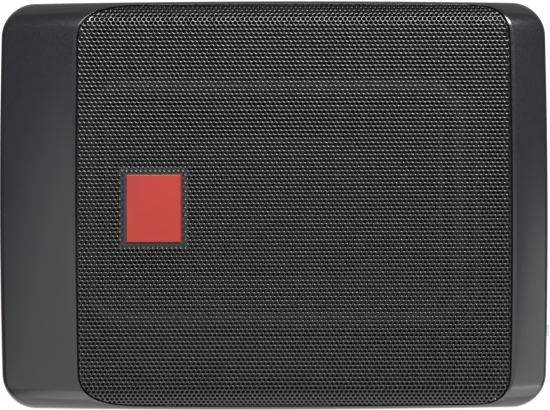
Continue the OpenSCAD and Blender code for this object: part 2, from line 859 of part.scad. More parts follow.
// half roll between its two lips
module surround() {
  color("#1a1a1b") translate([0, 0, deck_z0]) track_sweep(track_hl, track_hw, track_r) union() {
    intersection() {
      difference() {
        circle(roll_r);
        circle(roll_r - skin_t);
      }
      translate([-roll_r - 1, -0.3]) square([2 * roll_r + 2, roll_r + 2]);
    }
    translate([roll_r - skin_t, -gasket_t]) square([lip_w + skin_t, gasket_t]);
    translate([-roll_r - inner_lip_w, -gasket_t]) square([inner_lip_w + skin_t, gasket_t]);
  }
}

// ring of the cone, from its rim at 0 to its neck at 1
function cone_ring(f, z) =
  let(
    hl = (rim_hl - rim_flat) * (1 - f) + neck_r * f,
    hw = (rim_hw - rim_flat) * (1 - f) + neck_r * f,
    r = max(rim_r - rim_flat, 4) * (1 - f) + neck_r * f
  )
  at(rounded(hl, hw, r), z);

function cone_z(f) = flange_z1 - (flange_z1 - neck_z) * pow(f, 0.9);

module cone() {
  steps = [0, 0.3, 0.6, 1];
  color("#242425") ring_loft(concat(
    [at(rounded(rim_hl, rim_hw, rim_r), flange_z1 - cone_t)],
    [at(rounded(rim_hl, rim_hw, rim_r), flange_z1)],
    [for (f = steps) cone_ring(f, cone_z(f))],
    [for (k = [3:-1:0]) cone_ring(steps[k], cone_z(steps[k]) - cone_t)]
  ));
}

// flat-topped cap with a round edge, standing on the cone
module dust_cap() {
  hl = (rim_hl - rim_flat) * (1 - cap_f) + neck_r * cap_f - cap_h;
  hw = (rim_hw - rim_flat) * (1 - cap_f) + neck_r * cap_f - cap_h;
  r = max(rim_r - rim_flat, 4) * (1 - cap_f) + neck_r * cap_f - cap_h;
  color("#1d1d1e") translate([0, 0, cone_z(cap_f)]) union() {
    translate([0, 0, cap_h - cap_t]) linear_extrude(cap_t) track_2d(hl, hw, r);
    track_sweep(hl, hw, r) intersection() {
      difference() {
        circle(cap_h);
        circle(cap_h - cap_t);
      }
      square(cap_h + over);
    }
  }
}

// corrugated disc that centres the coil
module spider() {
  waves = 40;
  r0 = coil_r + 0.1;
  r1 = spider_r - seat_w;
  top = [for (k = [0:waves]) let(u = k / waves)
    [r0 + (r1 - r0) * u, spider_t + spider_wave * sin(u * 360 * 4) * sin(u * 180)]];
  color("#c8a14a") translate([0, 0, shelf_z]) rotate_extrude() polygon(concat(
    top,
    [[spider_r, spider_t], [spider_r, 0], [r1, 0]],
    [for (k = [waves - 1:-1:0]) [top[k].x, top[k].y - spider_t]]
  ));
}

module voice_coil_former() {
  z0 = coil_mid - coil_h / 2;
  color("#c9b27a") translate([0, 0, z0]) tube(coil_r, coil_r - former_t, neck_z + 1 - z0);
}

module voice_coil() {
  color("#b5652b") translate([0, 0, coil_mid - coil_h / 2]) tube(coil_r + coil_t, coil_r, coil_h);
}

module top_plate() {
  color("#8b8d91") translate([0, 0, motor_z - plate_t]) tube(magnet_r - 1, gap_r, plate_t);
}

module magnet() {
  color("#2c2c2e") translate([0, 0, motor_z - plate_t - magnet_t]) tube(magnet_r, pole_r + 6, magnet_t);
}

module yoke() {
  z0 = motor_z - 2 * plate_t - magnet_t;
  color("#8b8d91") translate([0, 0, z0]) difference() {
    union() {
      cylinder(h = plate_t, r = magnet_r - 2);
      cylinder(h = motor_z - z0, r = pole_r);
    }
    translate([0, 0, -over]) cylinder(h = body_h, r = vent_r);
  }
}

module driver_terminal() {
  color("#191919") block(
    terminal_x, terminal_x + terminal_t, -terminal_hw, terminal_hw, terminal_z, terminal_z + terminal_h
  );
}

module speaker_leads() {
  color("#7d1f1f") for (y = [-lead_y, lead_y])
    translate([terminal_x + 2, y, amp_z1]) cylinder(h = terminal_z - amp_z1, r = lead_r);
}

// flexible leads from the terminal, through the skirt's windows, to the back of the cone
module tinsel_leads() {
  steps = 16;
  sides = 8;
  r = tinsel_r;
  x0 = terminal_x + terminal_t / 2;
  z0 = terminal_z + terminal_h / 2;
  for (s = [-1, 1])
    let(
      way = [
        [x0, s * terminal_hw, z0],
        [x0, s * (end_window_y - 5), z0],
        [terminal_x - 18, s * (end_window_y - 8), shelf_z],
        [tinsel_x, s * (terminal_hw + 1), cone_z(tinsel_f) - cone_t - r - 0.3]
      ],
      path = [for (k = [0:steps]) let(t = k / steps, u = 1 - t)
        u * u * u * way[0] + 3 * t * u * u * way[1] + 3 * t * t * u * way[2] + t * t * t * way[3]]
    )
    color("#b8863b") loft([for (k = [0:steps])
      let(
        ahead = path[min(k + 1, steps)] - path[max(k - 1, 0)],
        along = ahead / norm(ahead),
        side = cross(along, [0, 0, 1]) / norm(cross(along, [0, 0, 1])),
        up = cross(side, along)
      )
      [for (a = [0:sides - 1]) path[k] + r * (cos(360 * a / sides) * side + sin(360 * a / sides) * up)]]);
}

module amp_board() {
  color("#1f5a36") difference() {
    block(amp_x0, amp_x1, -amp_hw, amp_hw, amp_z0, amp_z1);
    post_places() cylinder(h = body_h, r = board_screw_r + 2 * screw_gap);
  }
}

module control_board() {
  color("#1f5a36") block(board_x, ctrl_front, -ctrl_hw, ctrl_hw, amp_z1, window_z1 + 1);
}

module board_header() {
  color("#202020") block(amp_x1 - header_t, board_x, header_y[0], header_y[1], amp_z1, amp_z1 + header_h);
}

module capacitors() {
  color("#26324d") for (y = cap_y) translate([cap_x, y, amp_z1]) cylinder(h = can_h, r = cap_r);
}

module toroid() {
  color("#a8642a") translate([toroid_x, toroid_y, amp_z1]) rotate_extrude()
    translate([toroid_r, toroid_t]) circle(toroid_t);
}

module power_transistors() {
  color("#181818") for (y = chip_y)
    block(sink_x - chip_t, sink_x, y - chip_w / 2, y + chip_w / 2, amp_z1, amp_z1 + chip_h);
}

module heat_sink() {
  x1 = sink_x + sink_t;
  step = (sink_y[1] - sink_y[0] - fin_t) / (fins - 1);
  color("#a0a2a6") union() {
    block(sink_x, x1, sink_y[0], sink_y[1], amp_z1, amp_z1 + part_h);
    for (k = [0:fins - 1]) let(y = sink_y[0] + step * k)
      block(x1 - eps, x1 + fin_l, y, y + fin_t, amp_z1, amp_z1 + part_h);
  }
}

module board_screws() {
  color("#9a9ca0") post_places() difference() {
    union() {
      translate([0, 0, amp_z1]) cylinder(h = small_head_h, r = small_head_r);
      translate([0, 0, floor_z + over + 0.5]) cylinder(h = amp_z1 - floor_z, r = board_screw_r);
    }
    translate([0, 0, amp_z1 + small_head_h - over]) cylinder(h = 2 * over, r = small_drive_r, $fn = 6);
  }
}

module panel_screw_places() {
  for (y = [-1, 1] * panel_screw_y) for (z = [panel_z0 + panel_screw_in, panel_z1 - panel_screw_in])
    translate([0, y, z]) children();
}

// opening for a slide button and its travel
module button_slot(x0, x1, y) {
  block(x0, x1, y - button_w / 2 - slot_gap, y + button_w / 2 + switch_travel + slot_gap,
    low_z - button_h / 2 - slot_gap, low_z + button_h / 2 + slot_gap);
}

// block about a place on the panel, across it and up it
module fitting(x0, x1, y, w, h) {
  block(x0, x1, y - w / 2, y + w / 2, ctrl_z - h / 2, ctrl_z + h / 2);
}

module control_panel() {
  x0 = panel_back - over;
  x1 = panel_x + over;
  color("#232325") difference() {
    block(panel_back, panel_x, -panel_hw, panel_hw, panel_z0, panel_z1);
    panel_screw_places() rod_x(x0, x1, 0, 0, small_r + 2 * screw_gap);
    fitting(x0, x1, -fuse_y, holder_w + 2 * cut_gap, holder_h + 2 * cut_gap);
    fitting(x0, x1, socket_y, socket_w + 2 * cut_gap, socket_h + 2 * cut_gap);
    fitting(x0, x1, remote_y, remote_w + 2 * cut_gap, remote_h + 2 * cut_gap);
    for (y = phono_y) rod_x(x0, x1, y, ctrl_z, phono_r + cut_gap);
    for (k = [0:2]) rod_x(x0, x1, knob_y + k * knob_pitch, knob_z, bush_r + cut_gap);
    for (y = switch_y) button_slot(x0, x1, y);
    rod_x(x0, x1, light_y, low_z, light_r + cut_gap);
  }
}

module panel_screws() {
  color("#8f9094") panel_screw_places() difference() {
    union() {
      rod_x(panel_x, panel_x + small_head_h, 0, 0, small_head_r);
      rod_x(panel_back - bay_wall + 0.5, panel_x + eps, 0, 0, small_r);
    }
    rod_x(panel_x + small_head_h - over, panel_x + small_head_h + over, 0, 0, small_drive_r, $fn = 6);
  }
}

module potentiometers() {
  color("#3d5d8a") for (k = [0:2]) let(y = knob_y + k * knob_pitch) difference() {
    union() {
      block(ctrl_front, panel_back, y - pot_hw, y + pot_hw, knob_z - pot_hh, knob_z + pot_hh);
      rod_x(panel_back - eps, panel_x + bush_out, y, knob_z, bush_r);
    }
    rod_x(ctrl_front + shaft_in - 0.3, panel_x + bush_out + over, y, knob_z, shaft_r + run_gap);
  }
}

// ribbed knob with a pointer groove, on its shaft
module knob(k) {
  x0 = panel_x + knob_gap;
  x1 = x0 + knob_h;
  y = knob_y + k * knob_pitch;
  color("#171718") difference() {
    union() {
      rod_x(ctrl_front + shaft_in, x0 + over, y, knob_z, shaft_r);
      rod_x(x0, x1, y, knob_z, knob_core_r);
      for (a = [0:20:340]) translate([x0, y, knob_z]) rotate([a, 0, 0])
        translate([0, -rib_w / 2, 0]) cube([rib_h, rib_w, knob_r]);
    }
    block(x1 - pointer_d, x1 + over, y - pointer_w / 2, y + pointer_w / 2, knob_z + 1, knob_z + knob_r);
  }
}

module level_knob() {
  knob(0);
}

module crossover_knob() {
  knob(1);
}

module bass_boost_knob() {
  knob(2);
}

module switch_bodies() {
  color("#b9bbbf") for (y = switch_y) let(m = y + switch_travel / 2) difference() {
    block(ctrl_front, panel_back, m - switch_hw, m + switch_hw, low_z - switch_hh, low_z + switch_hh);
    button_slot(panel_back - slot_d, panel_back + over, y);
  }
}

// slide button with three finger ribs
module button(y) {
  x1 = panel_x + button_out;
  color("#101010") union() {
    block(panel_back - slot_d + run_gap, x1, y - button_w / 2, y + button_w / 2,
      low_z - button_h / 2, low_z + button_h / 2);
    for (k = [-1, 0, 1]) let(m = y + k * 2 * button_rib)
      block(x1 - eps, x1 + button_rib, m - button_rib / 2, m + button_rib / 2,
        low_z - button_h / 2, low_z + button_h / 2);
  }
}

module phase_button() {
  button(switch_y[0]);
}

module turn_on_button() {
  button(switch_y[1]);
}

module phono_block() {
  color("#141414") block(ctrl_front, panel_back, phono_y[0] - phono_block_hw, phono_y[1] + phono_block_hw,
    ctrl_z - phono_block_hh, ctrl_z + phono_block_hh);
}

module phono_shells() {
  color("#c9a646") for (y = phono_y) difference() {
    union() {
      rod_x(panel_back, panel_x + phono_out, y, ctrl_z, phono_r);
      rod_x(panel_x, panel_x + phono_nut_t, y, ctrl_z, phono_nut_r, $fn = 6);
    }
    rod_x(panel_back - over, panel_x + phono_out + over, y, ctrl_z, phono_bore_r);
  }
}

module phono_insulator(y) {
  difference() {
    rod_x(panel_back, panel_x + phono_core_out, y, ctrl_z, phono_core_r);
    rod_x(panel_x - over, panel_x + phono_out, y, ctrl_z, phono_pin_r);
  }
}

module phono_insulator_white() {
  color("#e8e6df") phono_insulator(phono_y[0]);
}

module phono_insulator_red() {
  color("#b3261e") phono_insulator(phono_y[1]);
}

module harness_socket() {
  x1 = panel_x + socket_out;
  color("#121212") difference() {
    fitting(ctrl_front, x1, socket_y, socket_w, socket_h);
    fitting(panel_x - socket_d, x1 + over, socket_y, socket_w - 2 * socket_wall, socket_h - 2 * socket_wall);
    // latch slot
    block(x1 - latch_d, x1 + over, socket_y - latch_w / 2, socket_y + latch_w / 2, ctrl_z, ctrl_z + socket_h);
  }
}

module harness_pins() {
  color("#c7c9cc") for (k = [-2:2]) for (s = [-1, 1])
    let(y = socket_y + pin_pitch * k, z = ctrl_z + pin_row / 2 * s)
    block(panel_x - socket_d, panel_x + pin_out, y - pin_w / 2, y + pin_w / 2, z - pin_w / 2, z + pin_w / 2);
}

module remote_jack() {
  x0 = ctrl_front + remote_back;
  x1 = panel_x + remote_out;
  color("#1a1a1a") difference() {
    fitting(ctrl_front, x1, remote_y, remote_w, remote_h);
    fitting(x0, x1 + over, remote_y, remote_hole_w, remote_hole_h);
    block(x0, x1 + over, remote_y - remote_key_w / 2, remote_y + remote_key_w / 2,
      ctrl_z - remote_key_z, ctrl_z);
  }
}

module power_light() {
  color("#7fb6ff") union() {
    rod_x(ctrl_front, panel_back, light_y, low_z, light_r + 0.4);
    rod_x(panel_back - eps, panel_x + light_out, light_y, low_z, light_r);
  }
}

// slots for the two blades, or the blades themselves
module blades(x0, x1, gap) {
  for (s = [-1, 1]) let(z = ctrl_z + s * blade_z)
    block(x0, x1, -fuse_y - blade_t / 2 - gap, -fuse_y + blade_t / 2 + gap,
      z - blade_w / 2 - gap, z + blade_w / 2 + gap);
}

module fuse_holder() {
  x1 = holder_x1 + over;
  color("#151515") difference() {
    fitting(ctrl_front, holder_x1, -fuse_y, holder_w, holder_h);
    fitting(fuse_x0, x1, -fuse_y, fuse_t + 2 * fuse_gap, fuse_w + 2 * fuse_gap);
    blades(fuse_x0 - blade_l - 0.5, x1, blade_gap);
  }
}

// body with a wider head and two test holes in it
module fuse_body() {
  head_x = fuse_x1 - fuse_head;
  color("#8fb7e8", 0.6) difference() {
    union() {
      fitting(fuse_x0, head_x, -fuse_y, fuse_t - 2 * fuse_step_t, fuse_w - 2 * fuse_step_w);
      fitting(head_x - eps, fuse_x1, -fuse_y, fuse_t, fuse_w);
    }
    for (s = [-1, 1]) let(z = ctrl_z + s * blade_z)
      block(fuse_x1 - over, fuse_x1 + over, -fuse_y - test_hole_w / 2, -fuse_y + test_hole_w / 2,
        z - test_hole_h / 2, z + test_hole_h / 2);
  }
}

module fuse_blades() {
  color("#c9ccd0") blades(fuse_x0 - blade_l, fuse_x0, 0);
}

upper_housing();
lower_housing();
housing_gasket();
housing_screws();
rubber_feet();
threaded_inserts();
grille();
badge_base();
badge_plate();
driver_basket();
driver_gasket();
driver_screws();
surround();
cone();
dust_cap();
spider();
voice_coil_former();
voice_coil();
top_plate();
magnet();
yoke();
driver_terminal();
tinsel_leads();
speaker_leads();
amp_board();
control_board();
board_header();
capacitors();
toroid();
power_transistors();
heat_sink();
board_screws();
control_panel();
panel_screws();
potentiometers();
level_knob();
crossover_knob();
bass_boost_knob();
switch_bodies();
phase_button();
turn_on_button();
phono_block();
phono_shells();
phono_insulator_white();
phono_insulator_red();
harness_socket();
harness_pins();
remote_jack();
power_light();
fuse_holder();
fuse_body();
fuse_blades();
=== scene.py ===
"""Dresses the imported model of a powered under-seat car subwoofer and sets it on a plain pale stage."""

import math
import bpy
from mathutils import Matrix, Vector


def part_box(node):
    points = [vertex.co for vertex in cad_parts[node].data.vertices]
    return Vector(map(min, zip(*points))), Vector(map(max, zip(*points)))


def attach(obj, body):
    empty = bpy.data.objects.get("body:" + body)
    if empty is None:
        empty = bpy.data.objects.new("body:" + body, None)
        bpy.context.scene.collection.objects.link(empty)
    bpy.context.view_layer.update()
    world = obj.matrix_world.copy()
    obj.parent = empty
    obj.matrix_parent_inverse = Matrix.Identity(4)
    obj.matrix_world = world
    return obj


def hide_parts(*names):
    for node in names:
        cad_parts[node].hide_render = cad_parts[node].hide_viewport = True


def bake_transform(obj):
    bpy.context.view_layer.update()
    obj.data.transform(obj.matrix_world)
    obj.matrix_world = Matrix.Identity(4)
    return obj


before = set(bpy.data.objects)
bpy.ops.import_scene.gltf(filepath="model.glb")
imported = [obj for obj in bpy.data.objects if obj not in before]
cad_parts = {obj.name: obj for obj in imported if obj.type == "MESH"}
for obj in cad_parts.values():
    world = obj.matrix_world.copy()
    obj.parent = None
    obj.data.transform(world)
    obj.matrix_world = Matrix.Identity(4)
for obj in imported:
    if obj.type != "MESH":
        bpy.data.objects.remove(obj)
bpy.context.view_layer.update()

from types import SimpleNamespace

import bmesh
import bpy
import numpy as np
from bpy.props import FloatProperty, FloatVectorProperty, IntProperty, PointerProperty
from mathutils.geometry import delaunay_2d_cdt
from mathutils.kdtree import KDTree

bl_info = {
    "name": "Car Subwoofer Dresser",
    "version": (1, 0, 0),
    "blender": (4, 5, 0),
    "location": "3D View > Sidebar > Subwoofer",
    "description": "Gives the packed subwoofer its smooth skins, its fine grille and its finishes",
    "category": "Object",
}

MM = 0.001
SHELL_LOW, SHELL_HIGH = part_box("upper_housing")
PANEL_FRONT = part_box("control_panel")[1].x / MM

# points round each ring: in a corner, along a long side and along a short side
CORNER = 48
LONG = 64
SHORT = 48
# edges that turn more than this stay sharp
SHARP = math.radians(35)


def linear(code):
    """Linear RGBA of an sRGB hex value."""
    parts = [int(code[i:i + 2], 16) / 255 for i in (1, 3, 5)]
    return [c / 12.92 if c <= 0.04045 else ((c + 0.055) / 1.055) ** 2.4 for c in parts] + [1.0]


def length(name, description, millimetres):
    """Property for a size, in metres."""
    return FloatProperty(
        name=name, description=description, default=millimetres * MM, min=0.0, precision=5, unit="LENGTH")


def colour(name, description, code):
    """Property for a colour, kept linear."""
    return FloatVectorProperty(
        name=name, description=description, default=linear(code), size=4, min=0.0, max=1.0, subtype="COLOR")


def power(name, description, watts):
    """Property for the power of a lamp."""
    return FloatProperty(name=name, description=description, default=watts, min=0.0, unit="POWER")


class HousingSizes(bpy.types.PropertyGroup):
    """Sizes of the moulded upper half."""

    long_side: length("Length", "Length over the two ends", (SHELL_HIGH.x - SHELL_LOW.x) / MM)
    wide_side: length("Width", "Width over the long sides", (SHELL_HIGH.y - SHELL_LOW.y) / MM)
    crown_height: length("Crown height", "Height of the crown above the floor", SHELL_HIGH.z / MM)
    seam_height: length("Seam height", "Height of the seam between the halves", SHELL_LOW.z / MM)
    corner_radius: length("Corner radius", "Radius of the corners seen from above", 15.5)
    edge_radius: length("Edge radius", "Radius of the rolled long edges", 13.3)
    crown_radius: length("Crown radius", "Radius of the crowned top across the width", 900)
    side_bow: length("Side bow", "Outward bow of each side at its middle", 1.3)
    draft: length("Draft", "Lean of the walls at their top", 0.7)
    end_radius: length("End radius", "Radius of the round between the shoulders and the end walls", 1.4)
    rim_width: length("Rim width", "Flat rim between the grille and each shoulder", 2.4)
    left_shoulder: length("Closed shoulder", "Width of the shoulder at the closed end", 37.1)
    right_shoulder: length("Control shoulder", "Width of the shoulder over the control end", 18.0)


class GrilleSizes(bpy.types.PropertyGroup):
    """Sizes of the perforated sheet."""

    hole_pitch: length("Hole pitch", "Distance between neighbouring holes", 2.21)
    hole_width: length("Hole diameter", "Diameter of a hole", 1.66)
    sheet: length("Sheet", "Thickness of the sheet", 0.8)
    sink: length("Sink", "Depth of the sheet below the rim", 0.4)
    hem_radius: length("Hem radius", "Radius of the bent-down edge", 0.5)
    hole_round: length("Hole round", "Width of the rounded edge of each hole", 0.22)
    hole_sides: IntProperty(
        name="Hole sides", description="Straight sides drawn round a hole", default=8, min=6)


class FinishColours(bpy.types.PropertyGroup):
    """Colours that a user would change."""

    housing: colour("Housing", "Satin moulded upper half", "#18181a")
    base: colour("Base", "Powder-coated lower half", "#1b1b1c")
    grille: colour("Grille", "Powder-coated perforated steel", "#121213")
    badge: colour("Badge", "Enamel of the badge plate", "#801f16")
    # the cone's and the roll's blacks are set darker than the parts' own, as painted shade in the recess
    # under the grille
    cone: colour("Cone", "Cone and dust cap", "#09090a")
    roll: colour("Surround", "Rubber half roll", "#08080a")
    fuse: colour("Fuse", "Tinted body of the blade fuse", "#b4c6e6")


class StageSettings(bpy.types.PropertyGroup):
    """Camera and lamps."""

    camera_height: length("Camera height", "Height of the camera above the floor", 3000)
    field: length("Field", "Width that the picture takes in at the seam", 261.2)
    far: power("Far softbox", "Power of the softbox past the far long side", 235)
    overhead: power("Overhead softbox", "Power of the wide softbox above the near half", 34)
    side: power("Side softbox", "Power of the softbox by the control end", 30)
    low: power("Low softbox", "Power of the low softbox past the near long side", 118)
    sky: FloatProperty(
        name="Room light", description="Strength of the even light of the room", default=0.14, min=0.0)


class Form:
    """The housing's form in millimetres, worked out from its settings."""

    def __init__(self, scene):
        h = scene.subwoofer_housing
        g = scene.subwoofer_grille
        self.half_l = h.long_side / MM / 2
        self.half_w = h.wide_side / MM / 2
        self.top = h.crown_height / MM
        self.seam = h.seam_height / MM
        self.draft = h.draft / MM
        self.top_hl = self.half_l - self.draft
        self.top_hw = self.half_w - self.draft
        self.corner_r = h.corner_radius / MM
        self.edge_r = h.edge_radius / MM
        self.crown_r = h.crown_radius / MM
        self.bow = h.side_bow / MM
        self.rim = h.rim_width / MM
        self.end_r = h.end_radius / MM
        self.wall = deck = 4.0
        deck_depth = 14
        self.deck_top = self.top - deck_depth
        self.deck_under = self.deck_top - deck
        # rolled long edges, which leave the crown without a crease and stop at this sine of their tilt
        self.roll_share = 0.94
        self.arc_y = self.top_hw - self.roll_share * self.edge_r
        self.roll_y = self.arc_y / (1 - self.edge_r / self.crown_r)
        self.roll_turn = math.asin(self.roll_y / self.crown_r)
        self.arc_z = self.crown(self.roll_y) - self.edge_r * math.cos(self.roll_turn)
        # fall of each shoulder away from the rim: its slope, and how that grows
        self.left_fall = (0.11, 0.0014)
        self.right_fall = (0.26, 0.0036)
        # share of a corner's length that the rim is drawn in, and how far from the long side that starts
        self.corner_draw = 0.35
        self.corner_reach = 22
        # opening of the grille, with the length and width of its soft corners
        long_rim = 2.3
        self.gx0 = -self.half_l + h.left_shoulder / MM
        self.gx1 = self.half_l - h.right_shoulder / MM
        self.g_mid = (self.gx0 + self.gx1) / 2
        self.g_hl = (self.gx1 - self.gx0) / 2
        self.g_hw = self.half_w - long_rim
        self.left_corner = 34.0
        self.right_corner = 19.0
        self.corner_y = 18.0
        self.gap = 0.5
        self.sink = g.sink / MM
        self.sheet = g.sheet / MM

    def crown(self, y):
        return self.top - self.crown_r + np.sqrt(self.crown_r ** 2 - y * y)

    def arch(self, y):
        """Crowned top with its rolled long edges."""
        y = np.abs(y)
        roll = self.arc_z + np.sqrt(np.maximum(0, self.edge_r ** 2 - np.maximum(0, y - self.arc_y) ** 2))
        return np.where(y <= self.roll_y, self.crown(y), roll)

    def corner_in(self, y, corner_x):
        """How far the soft corners draw the rim in towards the long sides, growing smoothly."""
        near = np.maximum(0, (np.abs(y) - self.g_hw) / self.corner_reach + 1)
        return self.corner_draw * corner_x * near ** 3

    def height(self, x, y):
        """Top surface: the arch, less the fall of each shoulder and the round of the ends."""
        left = np.maximum(0, self.gx0 - self.rim + self.corner_in(y, self.left_corner) - x)
        right = np.maximum(0, x - self.gx1 - self.rim + self.corner_in(y, self.right_corner))
        dx = np.maximum(0, np.abs(x) - self.top_hl + self.corner_r)
        dy = np.maximum(0, np.abs(y) - self.top_hw + self.corner_r)
        t = self.roll_share - (self.corner_r - np.hypot(dx, dy)) / self.end_r
        t = np.clip(t, 0, self.roll_share)
        ends = dx / self.corner_r * self.end_r * (1 - np.sqrt(1 - t * t))
        fall = sum(a * d + b * d ** 2 for d, (a, b) in ((left, self.left_fall), (right, self.right_fall)))
        return self.arch(y) - fall - ends

    def bowed(self, p):
        """Sides bowed outwards."""
        x, y = p[:, 0], p[:, 1]
        return np.stack([
            x * (1 - self.bow / self.half_l * (y / self.half_w) ** 2),
            y * (1 - self.bow / self.half_w * (x / self.half_l) ** 2),
        ], axis=1)

    def soft_corner(self, grow, side):
        """Long soft corner of the grille in the first quadrant, from the short side to the long one."""
        a = np.linspace(0, math.pi / 2, 200)
        mid = self.g_mid * side
        corner_x = self.right_corner if side > 0 else self.left_corner
        x = mid + self.g_hl + grow - corner_x + corner_x * np.cos(a).clip(0) ** (2 / 3)
        y = self.g_hw + grow - self.corner_y + self.corner_y * np.sin(a) ** (2 / 3)
        return np.stack([x, y], axis=1)

    def grille_ring(self, grow):
        return ring([resample(self.soft_corner(grow, side)) for side in (1, -1)])

    def outer_ring(self, hl, hw, r):
        """Outline of the box, with its points opposite those of the grille's outline."""
        runs = []
        for side in (1, -1):
            ends = self.soft_corner(self.gap, side)
            a = np.linspace(0, math.pi / 2, 100)
            arc = np.stack([hl - r + r * np.cos(a), hw - r + r * np.sin(a)], axis=1)
            start = [[hl, min(ends[0, 1], hw - r - 0.1)]]
            stop = [[min(ends[-1, 0], hl - r - 0.1), hw]]
            runs.append(resample(np.vstack([start, arc, stop])))
        return ring(runs)

    def sheet_place(self, s):
        """Across the arch at a developed distance from the middle: y, z and tilt."""
        r = self.edge_r - self.sink
        far = np.abs(s) - self.arc_y - r * math.sin(self.roll_turn)
        a = self.roll_turn + np.maximum(0, far) / r
        on_roll = far > 0
        y = np.where(on_roll, np.sign(s) * (self.arc_y + r * np.sin(a)), s)
        on_crown = self.crown(np.clip(s, -self.half_w, self.half_w)) - self.sink
        z = np.where(on_roll, self.arc_z + r * np.cos(a), on_crown)
        tilt = np.where(on_roll, np.sign(s) * a, np.arcsin(np.clip(s / self.crown_r, -1, 1)))
        return y, z, tilt

    def developed(self, y):
        """Developed distance from the middle of a point at y on the sheet."""
        r = self.edge_r - self.sink
        a = np.arcsin(np.clip((np.abs(y) - self.arc_y) / r, -1, 1))
        far = (a - self.roll_turn) * r
        return np.where(far > 0, np.sign(y) * (self.arc_y + r * math.sin(self.roll_turn) + far), y)


def resample(points):
    """A corner run with evenly spaced points."""
    steps = np.hypot(*np.diff(points, axis=0).T)
    along = np.concatenate([[0], np.cumsum(steps)])
    want = np.linspace(0, along[-1], CORNER + 1)
    return np.stack([np.interp(want, along, points[:, k]) for k in (0, 1)], axis=1)


def ring(runs):
    """Closed ring from the first-quadrant runs of the right and left corners, with points along the sides."""
    right, left = runs
    corners = [
        right,
        (left * [-1, 1])[::-1],
        left * [-1, -1],
        (right * [1, -1])[::-1],
    ]
    points = []
    for c in range(4):
        last = corners[c][-1]
        after = corners[(c + 1) % 4][0]
        count = LONG if c % 2 == 0 else SHORT
        f = np.linspace(0, 1, count + 2)[1:-1, None]
        points += [corners[c], last + (after - last) * f]
    return np.vstack(points)


def track(hl, hw, r, mid=0.0):
    """Closed ring of a racetrack with round corners."""
    a = np.linspace(0, math.pi / 2, CORNER + 1)
    arc = np.stack([hl - r + r * np.cos(a), hw - r + r * np.sin(a)], axis=1)
    return ring([arc, arc]) + [mid, 0]


def level(points, z):
    """Ring with its heights."""
    return np.column_stack([points, np.broadcast_to(z, len(points))])


def unit(vectors):
    """Directions of vectors; one without length stays as it is."""
    return vectors / np.maximum(np.linalg.norm(vectors, axis=1, keepdims=True), 1e-9)


def circle(sides, turn=0.0):
    """Points of a unit circle."""
    a = turn + np.linspace(0, 2 * math.pi, sides, endpoint=False)
    return np.stack([np.cos(a), np.sin(a)], axis=1)


def loft(rings, capped=False):
    """Points and faces over rings in a row, capped at both ends or closed back to the first one."""
    rows = len(rings)
    count = len(rings[0])
    j = np.arange(count)
    k = (j + 1) % count
    faces = []
    for i in range(rows - 1 if capped else rows):
        a = i * count
        b = (i + 1) % rows * count
        faces += np.stack([a + j, b + j, b + k, a + k], axis=1).tolist()
    if capped:
        faces += [j[::-1].tolist(), (j + (rows - 1) * count).tolist()]
    return np.vstack(rings), faces


def put(name, data):
    """Object of a mesh, a lamp or the camera, in the scene."""
    made = bpy.data.objects.new(name, data)
    bpy.context.scene.collection.objects.link(made)
    return made


def piece(name, parts, key, body=None):
    """Object made from parts of points in millimetres and faces, in a finish, its normals turned outwards."""
    points = np.vstack([p for p, _ in parts]) * MM
    faces = []
    start = 0
    for p, f in parts:
        faces += [[start + i for i in face] for face in f]
        start += len(p)
    mesh = bpy.data.meshes.new(name)
    mesh.from_pydata(points.tolist(), [], faces)
    work = bmesh.new()
    work.from_mesh(mesh)
    bmesh.ops.recalc_face_normals(work, faces=work.faces)
    work.to_mesh(mesh)
    work.free()
    mesh.shade_smooth()
    mesh.set_sharp_from_angle(angle=SHARP)
    made = put(name, mesh)
    mesh.materials.append(finish_of(key))
    if body:
        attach(made, body)
    return made


def disc(x, y, z0, z1, r):
    """Upright round boss with a softened top edge."""
    edge = 0.4
    steps = [(r, z0), (r, z1 - edge), (r - 0.3 * edge, z1 - 0.3 * edge), (r - edge, z1)]
    return loft([level(circle(40) * q + [x, y], z) for q, z in steps], capped=True)


def bar(x0, x1, y0, y1, z0, z1):
    """Small block."""
    points = np.array([[x, y, z] for x in (x0, x1) for y in (y0, y1) for z in (z0, z1)])
    return points, [[0, 1, 3, 2], [4, 6, 7, 5], [0, 4, 5, 1], [2, 3, 7, 6], [0, 2, 6, 4], [1, 5, 7, 3]]


def add(tree, kind, values=None, links=None, **settings):
    """Adds one shader node with its settings, its input values and its incoming links."""
    node = tree.nodes.new("ShaderNode" + kind)
    for key, value in settings.items():
        setattr(node, key, value)
    for key, value in (values or {}).items():
        node.inputs[key].default_value = value
    for key, source in (links or {}).items():
        tree.links.new(source, node.inputs[key])
    return node


def empty_tree(holder):
    """Node tree of a material or of the world, with nothing in it yet."""
    holder.use_nodes = True
    holder.node_tree.nodes.clear()
    return holder.node_tree


